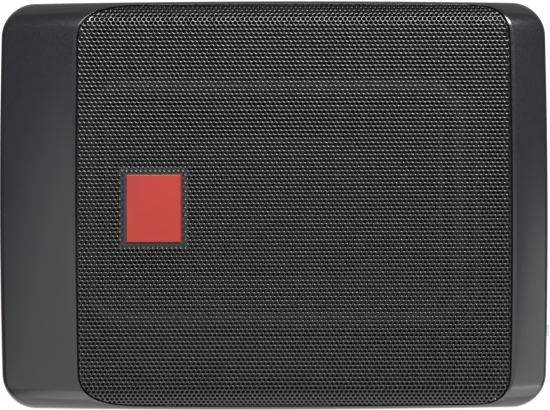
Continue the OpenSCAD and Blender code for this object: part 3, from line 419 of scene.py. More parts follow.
def finish(name, base, rough, grain, relief, shader, shade=0.06, gloss=0.05, stretch=(1, 1, 1), cells=False):
    """Material with a grain in millimetres, which its gloss follows too, and with a slow drift of shade."""
    made = bpy.data.materials.get(name)
    if made:
        return made
    made = bpy.data.materials.new(name)
    tree = empty_tree(made)
    place = add(tree, "TexCoord").outputs["Object"]
    along = add(tree, "Mapping", {"Scale": stretch}, {"Vector": place}).outputs["Vector"]
    per_metre = {"Scale": 1 / (grain * MM)}
    if cells:
        fine = add(tree, "TexVoronoi", per_metre, {"Vector": along}).outputs["Distance"]
    else:
        fine = add(tree, "TexNoise", per_metre | {"Detail": 2.0}, {"Vector": along}).outputs["Fac"]
    slow = {"Scale": 1 / (DRIFT_WIDTH * MM), "Detail": 3.0}
    drift = add(tree, "TexNoise", slow, {"Vector": place}).outputs["Fac"]
    # noise keeps mostly to this middle band
    band = {"From Min": 0.3, "From Max": 0.7}
    tones = band | {"To Min": 1 - shade, "To Max": 1 + shade}
    tone = add(tree, "MapRange", tones, {"Value": drift}).outputs["Result"]
    tint = add(tree, "HueSaturation", {"Color": list(base)}, {"Value": tone})
    shines = band | {"To Min": rough - gloss, "To Max": rough + gloss}
    shine = add(tree, "MapRange", shines, {"Value": fine})
    bump = add(tree, "Bump", {"Strength": 1.0, "Distance": relief * MM}, {"Height": fine})
    surface = add(tree, "BsdfPrincipled", shader, {
        "Base Color": tint.outputs["Color"],
        "Roughness": shine.outputs["Result"],
        "Normal": bump.outputs["Normal"],
    })
    add(tree, "OutputMaterial", links={"Surface": surface.outputs["BSDF"]})
    return made


# width in millimetres of the slow drift of shade on every finish
DRIFT_WIDTH = 18
# scales of directional grains: less than 1 draws the grain out along that axis, and more presses it together
FIBRES = {"stretch": (1, 3, 1)}
DRAWN_Z = {"stretch": (1, 1, 0.2)}
EXTRUDED_Z = {"stretch": (1, 1, 0.05)}
WOUND = {"stretch": (0.05, 0.05, 1)}
TURNED_Z = {"stretch": (0.1, 0.1, 1)}
TURNED_X = {"stretch": (1, 0.1, 0.1)}
METAL = {"Metallic": 1.0}

# for each finish: its colour, as the name of a setting or an sRGB value, its roughness, the width and depth
# of its grain in millimetres, what its shader takes, and what else sets it apart
FINISHES = {
    # moulded ABS from a spark-eroded tool: charcoal, satin, with a grain that breaks up its highlights
    "moulded_abs": ("housing", 0.22, 0.7, 0.003, {"IOR": 1.53}),
    # die-cast aluminium under black powder coat: fine orange peel and a soft sheen
    "coated_casting": ("base", 0.5, 1.4, 0.02, {"IOR": 1.5}),
    # perforated steel under thin black powder coat: rounded webs that catch the lamps
    "coated_steel": ("grille", 0.2, 1.2, 0.004, {"IOR": 1.5, "Specular IOR Level": 0.42}),
    # baked enamel on a stamped plate: clear strong red with a satin skin
    "baked_enamel": ("badge", 0.42, 2.5, 0.001, {"IOR": 1.5, "Specular IOR Level": 0.32}, {"gloss": 0.015}),
    # painted shade on the deck and the walls under the grille: near black with almost no sheen, so nothing
    # shows between the holes
    "matt_paint": ("#0b0b0c", 0.85, 1.0, 0.02, {"IOR": 1.45, "Specular IOR Level": 0.1}),
    # filled polypropylene: matt black with the short fibres just showing, and darker still as painted shade
    # under the grille
    "filled_polypropylene": ("cone", 0.55, 0.8, 0.02, {"IOR": 1.49, "Specular IOR Level": 0.1}, FIBRES),
    # moulded butyl rubber: deep black, dull, a little bloom, and darker still as painted shade under the
    # grille
    "butyl_rubber": ("roll", 0.6, 0.9, 0.01, {"IOR": 1.52, "Specular IOR Level": 0.25}, {"shade": 0.15}),
    # polycarbonate fuse body: pale tint that lets the light through
    "tinted_polycarbonate": ("fuse", 0.22, 1.5, 0.003, {"IOR": 1.58, "Transmission Weight": 0.35}),
    # black nylon mouldings: slightly glossier than the case
    "black_nylon": ("#161617", 0.38, 0.6, 0.008, {"IOR": 1.53}),
    # sponge rubber strip: matt, with open cells
    "sponge_rubber": ("#151515", 0.85, 0.7, 0.06, {"IOR": 1.5}, {"cells": True}),
    # cotton cloth dipped in phenolic resin: amber, with its threads showing
    "resin_cloth": ("#b98f3e", 0.62, 0.6, 0.08, {"IOR": 1.55}, {"cells": True}),
    # polyimide former: amber film with a smooth face
    "polyimide": ("#a86a26", 0.3, 2.0, 0.004, {"IOR": 1.7}),
    # enamelled copper wire, wound in turns
    "enamelled_copper": ("#b4602f", 0.32, 0.3, 0.03, METAL, WOUND),
    # zinc-plated steel: bright, faintly blue, with a drawn surface
    "zinc_plate": ("#a9adb3", 0.32, 0.5, 0.004, METAL, DRAWN_Z),
    # black zinc on screws: dark, dull metal
    "black_zinc": ("#3a3b3e", 0.42, 0.5, 0.006, METAL),
    # sintered ferrite: dark grey, ground, gritty
    "sintered_ferrite": ("#2b2b2e", 0.6, 0.8, 0.03, {"IOR": 2.0}),
    # cast aluminium frame under thin grey coat
    "cast_frame": ("#3b3c3f", 0.5, 1.2, 0.02, {"IOR": 1.5}),
    # green solder mask over glass laminate
    "solder_mask": ("#1d5c36", 0.3, 0.9, 0.01, {"IOR": 1.55}, {"shade": 0.2}),
    # shrunk sleeve of the capacitors
    "shrink_sleeve": ("#25324f", 0.3, 3.0, 0.004, {"IOR": 1.5}),
    # extruded aluminium with its die lines
    "extruded_aluminium": ("#b7b9bd", 0.35, 0.4, 0.008, METAL, EXTRUDED_Z),
    # turned brass
    "turned_brass": ("#c29a4c", 0.28, 0.3, 0.006, METAL, TURNED_Z),
    # gold flash over nickel on the phono shells
    "gold_flash": ("#d3ab57", 0.22, 0.4, 0.003, METAL, TURNED_X),
    # white and red nylon of the phono insulators
    "white_nylon": ("#e4e2da", 0.42, 0.9, 0.006, {"IOR": 1.53}),
    "red_nylon": ("#b3231f", 0.42, 0.9, 0.006, {"IOR": 1.53}),
    # phenolic body of the potentiometers
    "phenolic": ("#2f4a73", 0.4, 0.8, 0.008, {"IOR": 1.6}),
    # clear blue lens of the power light
    "lens_acrylic": ("#3f6fd0", 0.12, 2.0, 0.002, {"IOR": 1.49, "Transmission Weight": 0.6}),
    # vinyl sleeve of the leads
    "vinyl_sleeve": ("#8a1f1d", 0.4, 1.5, 0.004, {"IOR": 1.54}),
    # screen-printed white ink
    "printed_ink": ("#dcdcd8", 0.6, 0.3, 0.004, {"IOR": 1.5}),
}


def finish_of(key):
    """Finish by its name, in its own colour or the one set for it."""
    base, rough, grain, relief, shader, *apart = FINISHES[key]
    colours = bpy.context.scene.subwoofer_colours
    tone = linear(base) if base.startswith("#") else getattr(colours, base)
    return finish(key, tone, rough, grain, relief, shader, **(apart[0] if apart else {}))


class PieceOperator:
    """What every operator shares: it gives the solids that it keeps their finishes, and then it builds."""

    bl_options = {"REGISTER", "UNDO"}
    # for each finish, the nodes that wear it on their own solids
    kept = {}

    def execute(self, context):
        for key, nodes in self.kept.items():
            for name in nodes:
                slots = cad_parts[name].data.materials
                slots.clear()
                slots.append(finish_of(key))
        self.build(context.scene)
        return {"FINISHED"}

    def build(self, scene):
        """Makes what the operator adds, where it adds anything."""


class SUBWOOFER_OT_stage(PieceOperator, bpy.types.Operator):
    """Sets the camera, the lamps, the room light and the pale floor"""

    bl_idname = "subwoofer.stage"
    bl_label = "Stage"

    # place, width and height of each softbox in metres
    SOFTBOXES = {
        "far": ((0.5, 2.0, 2.45), 1.5, 1.5),
        "overhead": ((-0.36, -1.3, 2.8), 2.62, 3.3),
        "side": ((2.1, -1.3, 2.1), 2.4, 1.8),
        "low": ((0.8, -2.8, 0.85), 4.0, 3.0),
    }
    SENSOR = 36
    # the camera stands a little off the middle and is turned a little
    CAMERA_OFF = (0.57 * MM, 0.2 * MM)
    CAMERA_ROLL = -0.0025
    FLOOR_HALF = 6.0

    def build(self, scene):
        s = scene.subwoofer_stage
        scene.view_settings.view_transform = "Standard"
        seam = scene.subwoofer_housing.seam_height
        lens = bpy.data.cameras.new("camera")
        lens.sensor_width = self.SENSOR
        lens.lens = (s.camera_height - seam) * self.SENSOR / s.field
        camera = put("camera", lens)
        camera.location = (*self.CAMERA_OFF, s.camera_height)
        camera.rotation_euler.z = self.CAMERA_ROLL
        scene.camera = camera
        for name, (place, width, height) in self.SOFTBOXES.items():
            self.lamp(name + "_softbox", getattr(s, name), place, width, height)
        self.room(scene, s.sky)
        self.floor()

    def lamp(self, name, power, place, width, height):
        light = bpy.data.lights.new(name, "AREA")
        light.shape = "RECTANGLE"
        light.size = width
        light.size_y = height
        light.energy = power
        made = put(name, light)
        made.location = place
        made.rotation_euler = (-made.location).to_track_quat("-Z", "Y").to_euler()
        made.visible_camera = False

    def room(self, scene, strength):
        world = bpy.data.worlds.new("room")
        scene.world = world
        tree = empty_tree(world)
        path = add(tree, "LightPath")
        strengths = {"To Min": strength, "To Max": 1.0}
        seen = add(tree, "MapRange", strengths, {"Value": path.outputs["Is Camera Ray"]})
        shown = {"Strength": seen.outputs["Result"]}
        light = add(tree, "Background", {"Color": (1, 1, 1, 1)}, shown)
        add(tree, "OutputWorld", links={"Surface": light.outputs["Background"]})

    def floor(self):
        # matt paper sweep: it reads white to the camera and keeps the shadow under the box
        paper = bpy.data.materials.new("paper_sweep")
        tree = empty_tree(paper)
        path = add(tree, "LightPath")
        seen = add(tree, "Math", operation="MAXIMUM", links={
            0: path.outputs["Is Camera Ray"], 1: path.outputs["Is Transmission Ray"]})
        # in reflections it glows white on the near side and fades into the dark behind the box: a painted
        # pool of light in front, and painted shade behind
        point = add(tree, "NewGeometry").outputs["Position"]
        place = add(tree, "SeparateXYZ", links={0: point})
        fade = {"From Min": 0.05, "From Max": -0.2}
        near = add(tree, "MapRange", fade, {"Value": place.outputs["Y"]})
        shown = add(tree, "Math", operation="MULTIPLY", links={
            0: path.outputs["Is Glossy Ray"], 1: near.outputs["Result"]})
        # glow: white for the camera, and for reflections the painted light on the near side
        glow = add(
            tree, "Math", {1: 0.88}, {0: seen.outputs["Value"], 2: shown.outputs["Value"]},
            operation="MULTIPLY_ADD")
        surface = add(
            tree, "BsdfPrincipled",
            {"Base Color": linear("#6c6c6c"), "Roughness": 0.9, "Emission Color": (1, 1, 1, 1)},
            {"Emission Strength": glow.outputs["Value"]})
        add(tree, "OutputMaterial", links={"Surface": surface.outputs["BSDF"]})
        mesh = bpy.data.meshes.new("floor")
        r = self.FLOOR_HALF
        mesh.from_pydata([(-r, -r, 0), (r, -r, 0), (r, r, 0), (-r, r, 0)], [], [(0, 1, 2, 3)])
        mesh.materials.append(paper)
        put("floor", mesh)


class SUBWOOFER_OT_upper_housing(PieceOperator, bpy.types.Operator):
    """Moulded upper half: a closed skin with its shoulders, rim and grille seat, and the deck below them"""

    bl_idname = "subwoofer.upper_housing"
    bl_label = "Upper housing"

    # ledge under the sheet, at the ends and along the sides, and corner radius of the room inside it
    LEDGE = (4, 4.4)
    ROOM_CORNER = 20
    # half length, half width and corner radius of the driver's opening
    OPENING = (98, 65.5, 26)
    # share of the way from the opening to the top edge that the rim takes along the sides
    SIDE_RIM = 0.3
    # share of a corner's width that the rim along the ends leaves out
    END_STOP = 0.08
    # largest round on the edge of the opening
    MOUTH_ROUND = 0.35
    # rings between the top edge and the rim, closer where the surface turns
    TOP_STEPS = (0.015, 0.035, 0.06, 0.09, 0.13, 0.18, 0.25, 0.34, 0.44, 0.55, 0.66, 0.76, 0.85, 0.91, 0.95,
                 0.975, 0.99, 1.0)

    def build(self, scene):
        f = Form(scene)
        edge = f.outer_ring(f.top_hl, f.top_hw, f.corner_r)
        mouth = f.grille_ring(f.gap)
        crease = self.crease(f, edge, mouth)
        room = track(f.g_hl - self.LEDGE[0], f.g_hw - self.LEDGE[1], self.ROOM_CORNER, f.g_mid)
        opening = track(*self.OPENING)
        rings = self.walls(f, edge)
        rings += [self.on_top(f, edge + (crease - edge) * t) for t in self.TOP_STEPS]
        rings += self.mouth_edge(f, crease, mouth)
        shown = (len(rings) - 1) * len(edge)
        rings += self.seat(f, mouth, room, opening)
        made = piece("upper_housing_skin", [loft(rings)], "moulded_abs", "enclosure")
        # from the edge of the opening down, the seat, ledge and walls wear painted shade
        made.data.materials.append(finish_of("matt_paint"))
        inside = np.arange(len(made.data.polygons)) >= shown
        made.data.polygons.foreach_set("material_index", inside.astype(np.int32))
        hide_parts("upper_housing")
        # the deck and its bosses wear the same painted shade
        parts = [self.deck(f, room, opening)]
        # bosses over the housing's screws, and round the driver
        parts += self.bosses(f, (18 - f.half_l, -32, 32, f.half_l - 26), f.half_w - 17, 4, 2)
        parts += self.bosses(f, (-75, -25, 25, 75), 69.7, 3.2, 2.5)
        made = piece("upper_housing_deck", parts, "matt_paint", "enclosure")
        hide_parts("upper_housing")

    def bosses(self, f, places, y, r, rise):
        """Bosses on the deck in two rows, let into it a little."""
        return [disc(x, side * y, f.deck_top - 0.5, f.deck_top + rise, r) for x in places for side in (-1, 1)]

    def on_top(self, f, p):
        return level(f.bowed(p), f.height(p[:, 0], p[:, 1]))

    def crease(self, f, edge, mouth):
        """Outer line of the rim: along each end it stands off the opening by the rim's width."""
        near = mouth + (edge - mouth) * self.SIDE_RIM
        y = near[:, 1]
        right = f.gx1 + f.rim - f.corner_in(y, f.right_corner)
        left = f.gx0 - f.rim + f.corner_in(y, f.left_corner)
        at_end = np.abs(y) < f.g_hw - self.END_STOP * f.corner_y
        x = np.where(near[:, 0] > f.g_mid, np.maximum(right, mouth[:, 0]), np.minimum(left, mouth[:, 0]))
        return np.stack([np.where(at_end, x, near[:, 0]), np.where(at_end, mouth[:, 1], y)], axis=1)

    def walls(self, f, edge):
        """Outside, from the inside of the seam up to the top edge."""
        foot = f.bowed(edge * [f.half_l / f.top_hl, f.half_w / f.top_hw])
        head = self.on_top(f, edge)
        inner = f.bowed(f.outer_ring(f.half_l - f.wall, f.half_w - f.wall, f.corner_r - f.wall))
        rings = [
            level(inner, f.deck_under),
            level(inner, f.seam),
            level(foot * 0.998, f.seam),
            level(foot, f.seam + 0.3),
        ]
        low = rings[-1]
        for t in (0.3, 0.6, 0.85, 0.95, 1.0):
            rings.append(low + (head - low) * t)
        return rings

    def mouth_edge(self, f, crease, mouth):
        """Small round on the edge of the opening."""
        way = crease - mouth
        round_r = np.minimum(self.MOUTH_ROUND, np.linalg.norm(way, axis=1) / 2)
        way = unit(way) * round_r[:, None]
        rings = [self.on_top(f, crease + (mouth - crease) * t) for t in (0.3, 0.6)]
        for out, drop in ((1.0, 0.0), (0.6, 0.08), (0.29, 0.29), (0.08, 0.6), (0.0, 1.0)):
            row = self.on_top(f, mouth + way * out)
            row[:, 2] -= drop * round_r
            rings.append(row)
        return rings

    def under_shoulder(self, f, opening):
        """Where the driver's opening reaches under the shoulder of the closed end."""
        return opening[:, 0] < f.g_mid - f.g_hl + self.LEDGE[0]

    def seat(self, f, mouth, room, opening):
        """Seat wall, ledge under the sheet and the room's wall down to the deck's underside."""
        under = f.sink + f.sheet
        rings = [level(f.bowed(mouth), f.arch(mouth[:, 1]) - under)]
        for t in (0.25, 0.5, 0.75, 1.0):
            p = mouth + (room - mouth) * t
            rings.append(level(f.bowed(p) if t < 1 else p, f.arch(p[:, 1]) - under))
        past = self.under_shoulder(f, opening)
        foot = np.where(past[:, None], opening, room)
        step = f.deck_top + 6
        rings += [level(room, step), level(foot, np.where(past, step, step - 1))]
        return rings + [level(foot, f.deck_under)]

    def deck(self, f, room, opening):
        """Plate between the room's wall and the driver's opening, let into the wall a little."""
        edge = np.where(self.under_shoulder(f, opening)[:, None], opening, room)
        edge = (edge - [f.g_mid, 0]) * 1.004 + [f.g_mid, 0]
        rings = [level(edge, f.deck_under + 0.1), level(edge, f.deck_top)]
        rings += [level(edge + (opening - edge) * t, f.deck_top) for t in (0.5, 0.98)]
        rings += [level(opening, f.deck_top - 0.4), level(opening, f.deck_under + 0.1)]
        return loft(rings)


class SUBWOOFER_OT_lower_housing(PieceOperator, bpy.types.Operator):
    """Lower half with its gasket, screws, feet and inserts"""

    bl_idname = "subwoofer.lower_housing"
    bl_label = "Lower housing"
    kept = {
        "coated_casting": ["lower_housing"],
        "sponge_rubber": ["housing_gasket"],
        "black_zinc": ["housing_screws"],
        "butyl_rubber": ["rubber_feet"],
        "turned_brass": ["threaded_inserts"],
    }


class SUBWOOFER_OT_grille(PieceOperator, bpy.types.Operator):
    """Perforated steel sheet on the arch, with its bent-down edge and the badge's cut-out"""

    bl_idname = "subwoofer.grille"
    bl_label = "Grille"

    # gap round the badge, and how much of the bent edge the outline takes up, in millimetres
    BADGE_GAP = 0.8
    TAKE_UP = 0.12
    # drop of a hole's rounded edge for its width, and the lean of its surface where it starts and ends
    ROUND_DROP = 0.3
    WEB_LEAN = 0.25
    EDGE_LEAN = 0.65
    # turn of the bent edge, and its tilt at most
    HEM_TURN = math.radians(70)
    HEM_TILT = math.radians(84)
    # half size of the pattern before it is cut, in millimetres, and the least web beside a whole hole
    PATTERN = (110, 105)
    LEAST_WEB = 0.05
    # how far past an edge the middle of a hole may lie for its width, if it is still to notch that edge
    NOTCH = 0.35
    # a triangle with its middle in this share of a hole's radius belongs to the hole
    HOLE_SHARE = 0.92

    def build(self, scene):
        f = Form(scene)
        g = scene.subwoofer_grille
        self.hem = g.hem_radius / MM
        outline = self.sheet_outline(f)
        low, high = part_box("badge_plate")
        gap = self.BADGE_GAP * MM
        cut = np.array([low.x - gap, high.x + gap, low.y - gap, high.y + gap]) / MM
        centres, partial = self.hole_centres(f, g, outline, cut)
        flat, tris, first = self.perforated(g, outline, cut, centres, partial)
        last = first + len(centres) * g.hole_sides
        upper, normal = self.formed(f, flat, outline)
        narrow = flat.copy()
        middle = np.repeat(centres, g.hole_sides, axis=0)
        round_w = g.hole_round / MM
        shrink = 1 - round_w / (g.hole_width / MM / 2 + round_w)
        narrow[first:last] = middle + (flat[first:last] - middle) * shrink
        edge, edge_normal = self.formed(f, narrow, outline)
        inward = unit(edge - upper)
        # the formed sheet: its face, the edges of its holes and its underside, with their directions
        sheet = SimpleNamespace(
            sides=g.hole_sides,
            first=first,
            last=last,
            upper=upper,
            upper_normal=normal,
            web_normal=normal + self.WEB_LEAN * inward,
            edge=edge - edge_normal * round_w * self.ROUND_DROP,
            edge_normal=edge_normal + self.EDGE_LEAN * inward,
            lower=edge - edge_normal * f.sheet,
            inward=inward,
        )
        x = flat[tris].mean(axis=1)[:, 0]
        cuts = [-1e9, f.g_mid - f.g_hl / 3, f.g_mid + f.g_hl / 3, 1e9]
        for name, x0, x1 in zip(("grille_left", "grille_middle", "grille_right"), cuts, cuts[1:]):
            faces, normals = self.closed(sheet, tris[(x >= x0) & (x < x1)])
            self.sheet_piece(name, sheet, faces, normals)

    def sheet_piece(self, name, sheet, faces, normals):
        """Object of one part of the sheet, with the directions of its crowned webs and rounded hole edges."""
        points = np.vstack([sheet.upper, sheet.edge, sheet.lower]) * MM
        used, at = np.unique(np.concatenate(faces), return_inverse=True)
        stops = np.cumsum([len(f) for f in faces])[:-1]
        mesh = bpy.data.meshes.new(name)
        mesh.from_pydata(points[used].tolist(), [], [r.tolist() for r in np.split(at, stops)])
        mesh.shade_smooth()
        mesh.normals_split_custom_set(normals.tolist())
        made = put(name, mesh)
        mesh.materials.append(finish_of("coated_steel"))
        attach(made, "enclosure")
        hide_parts("grille")

    def sheet_outline(self, f):
        """Developed outline of the sheet, with what its bent edge takes up."""
        p = f.bowed(f.grille_ring(0))
        p = np.stack([p[:, 0], f.developed(p[:, 1])], axis=1)
        keep = np.linalg.norm(p - np.roll(p, 1, axis=0), axis=1) > 0.05
        p = p[keep]
        ahead = np.roll(p, -1, axis=0) - np.roll(p, 1, axis=0)
        out = np.stack([ahead[:, 1], -ahead[:, 0]], axis=1)
        return p + unit(out) * self.TAKE_UP

    def depth(self, p, outline):
        """Distance in from the outline, and the direction towards it."""
        a = outline
        d = np.roll(outline, -1, axis=0) - a
        best = np.full(len(p), 1e9)
        way = np.zeros((len(p), 2))
        for i in range(len(a)):
            rel = p - a[i]
            t = np.clip(rel @ d[i] / (d[i] @ d[i]), 0, 1)
            off = rel - t[:, None] * d[i]
            dist = np.hypot(off[:, 0], off[:, 1])
            side = d[i][0] * rel[:, 1] - d[i][1] * rel[:, 0]
            near = dist < best
            best[near] = dist[near]
            flip = np.where(side[near] >= 0, -1.0, 1.0)[:, None]
            way[near] = flip * off[near] / np.maximum(dist[near], 1e-9)[:, None]
        return best, way

    def hole_centres(self, f, g, outline, cut):
        """Staggered rows along the length: the whole holes, and those that an edge of the sheet cuts."""
        pitch = g.hole_pitch / MM
        row = pitch * math.sqrt(3) / 2
        cols = int(self.PATTERN[0] / pitch)
        rows = int(self.PATTERN[1] / row)
        j, i = np.meshgrid(np.arange(-rows, rows + 1), np.arange(-cols, cols + 1), indexing="ij")
        p = np.stack([f.g_mid + (i + 0.5 * (j % 2)) * pitch, j * row], axis=-1).reshape(-1, 2)
        far, _ = self.depth(p, outline)
        far = np.where(self.within(p, outline), far, -far)
        beside = np.maximum(cut[0] - p[:, 0], p[:, 0] - cut[1])
        far = np.minimum(far, np.maximum(beside, np.maximum(cut[2] - p[:, 1], p[:, 1] - cut[3])))
        whole = far > (g.hole_width / 2 + g.hole_round) / MM + self.LEAST_WEB
        return p[whole], p[~whole & (far > -self.NOTCH * g.hole_width / MM)]

    def within(self, p, outline):
        """Whether each point lies inside the outline."""
        inside = np.zeros(len(p), bool)
        a = outline
        b = np.roll(outline, -1, axis=0)
        for (x0, y0), (x1, y1) in zip(a, b):
            if y0 == y1:
                continue
            spans = (y0 > p[:, 1]) != (y1 > p[:, 1])
            inside ^= spans & (p[:, 0] < (x1 - x0) * (p[:, 1] - y0) / (y1 - y0) + x0)
        return inside

    def perforated(self, g, outline, cut, centres, partial):
        """Flat sheet with its holes, as triangles, and where the points of its whole holes start."""
        sides = g.hole_sides
        r = g.hole_width / MM / 2
        wide = r + g.hole_round / MM
        turn = math.pi / sides
        holes = (centres[:, None] + wide * circle(sides, turn)).reshape(-1, 2)
        notches = (partial[:, None] + r * circle(sides, turn)).reshape(-1, 2)
        corners = np.array([[cut[0], cut[2]], [cut[1], cut[2]], [cut[1], cut[3]], [cut[0], cut[3]]])
        # points along each side of the badge's cut-out
        along = np.arange(12)[:, None] / 12
        edge_runs = np.vstack([c + (d - c) * along for c, d in zip(corners, np.roll(corners, -1, axis=0))])
        points = np.vstack([outline, edge_runs, holes, notches])
        edges = []
        start = 0
        for count in [len(outline), len(edge_runs)] + [sides] * (len(centres) + len(partial)):
            k = np.arange(count)
            edges += np.stack([start + k, start + (k + 1) % count], axis=1).tolist()
            start += count
        out = delaunay_2d_cdt([tuple(p) for p in points], edges, [], 0, 1e-7)
        flat = np.array([tuple(v) for v in out[0]])
        if not np.allclose(flat[:len(points)], points, atol=1e-4):
            raise RuntimeError("the sheet's points came back in another order")
        tris = np.array(out[2])
        mid = flat[tris].mean(axis=1)
        keep = self.within(mid, outline)
        keep &= ~((mid[:, 0] > cut[0]) & (mid[:, 0] < cut[1]) & (mid[:, 1] > cut[2]) & (mid[:, 1] < cut[3]))
        radii = [wide] * len(centres) + [r] * len(partial)
        keep &= ~self.in_a_hole(mid, np.vstack([centres, partial]), radii)
        return flat, tris[keep], len(outline) + len(edge_runs)

    def in_a_hole(self, mid, centres, radii):
        """Whether each point falls inside the hole nearest to it."""
        tree = KDTree(len(centres))
        for n, (x, y) in enumerate(centres):
            tree.insert((x, y, 0), n)
        tree.balance()
        nearest = [tree.find((x, y, 0)) for x, y in mid]
        return np.array([off < self.HOLE_SHARE * radii[n] for _, n, off in nearest])

    def formed(self, f, flat, outline):
        """Sheet laid on the arch, with its edge bent down."""
        y, z, tilt = f.sheet_place(flat[:, 1])
        points = np.stack([flat[:, 0], y, z], axis=1)
        across = np.stack([np.zeros_like(y), np.cos(tilt), -np.sin(tilt)], axis=1)
        normal = np.stack([np.zeros_like(y), np.sin(tilt), np.cos(tilt)], axis=1)
        far, way = self.depth(flat, outline)
        most = np.minimum(self.HEM_TURN, self.HEM_TILT - np.abs(tilt))
        reach = self.hem * most
        t = np.maximum(0, reach - far)
        a = np.minimum(t / self.hem, most)
        out = way[:, :1] * [[1, 0, 0]] + way[:, 1:] * across
        points -= out * (t - self.hem * np.sin(a))[:, None]
        points -= normal * (self.hem * (1 - np.cos(a)))[:, None]
        turned = normal * np.cos(a)[:, None] + out * np.sin(a)[:, None]
        return points, turned

    def closed(self, sheet, tris):
        """Faces of the chosen triangles above and below, with hole edges and walls, and their directions."""
        n = len(sheet.upper)
        edges = np.concatenate([tris[:, [0, 1]], tris[:, [1, 2]], tris[:, [2, 0]]])
        key = np.sort(edges, axis=1)
        _, first, count = np.unique(key, axis=0, return_index=True, return_counts=True)
        rim = edges[first[count == 1]]
        hole = (rim - sheet.first) // sheet.sides
        at_hole = ((rim >= sheet.first) & (rim < sheet.last)).all(axis=1) & (hole[:, 0] == hole[:, 1])
        a, b = rim[at_hole].T
        rounds = np.stack([b, a, a + n, b + n], axis=1)
        walls = np.stack([b + n, a + n, a + 2 * n, b + 2 * n], axis=1)
        below = tris[:, ::-1] + 2 * n
        ends = [self.end_face(sheet, c, d, n) for c, d in rim[~at_hole].tolist()]
        c, d = rim[~at_hole].T
        across = np.cross(sheet.upper[d] - sheet.upper[c], sheet.upper_normal[c])
        outward = np.concatenate([sheet.web_normal, sheet.edge_normal])
        normals = np.concatenate([
            outward[tris.ravel()],
            outward[rounds.ravel()],
            sheet.inward[walls.ravel() % n],
            -sheet.upper_normal[below.ravel() % n],
            np.repeat(across, [len(f) for f in ends], axis=0),
        ])
        faces = tris.tolist() + rounds.tolist() + walls.tolist() + below.tolist() + ends
        return faces, unit(normals)

    def end_face(self, sheet, c, d, n):
        """Wall over one edge where the sheet ends, or where one part of it meets the next."""
        c_edge, d_edge = ([k + n] if sheet.first <= k < sheet.last else [] for k in (c, d))
        return [d, c] + c_edge + [c + 2 * n, d + 2 * n] + d_edge


class SUBWOOFER_OT_badge(PieceOperator, bpy.types.Operator):
    """Plain enamelled plate on its dark base"""

    bl_idname = "subwoofer.badge"
    bl_label = "Badge"
    kept = {"baked_enamel": ["badge_plate"], "black_nylon": ["badge_base"]}

    def build(self, scene):
        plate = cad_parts["badge_plate"]
        plate.modifiers.new("weld", "WELD").merge_threshold = 0.01 * MM
        bevel = plate.modifiers.new("bevel", "BEVEL")
        bevel.width = 0.4 * MM
        bevel.segments = 3


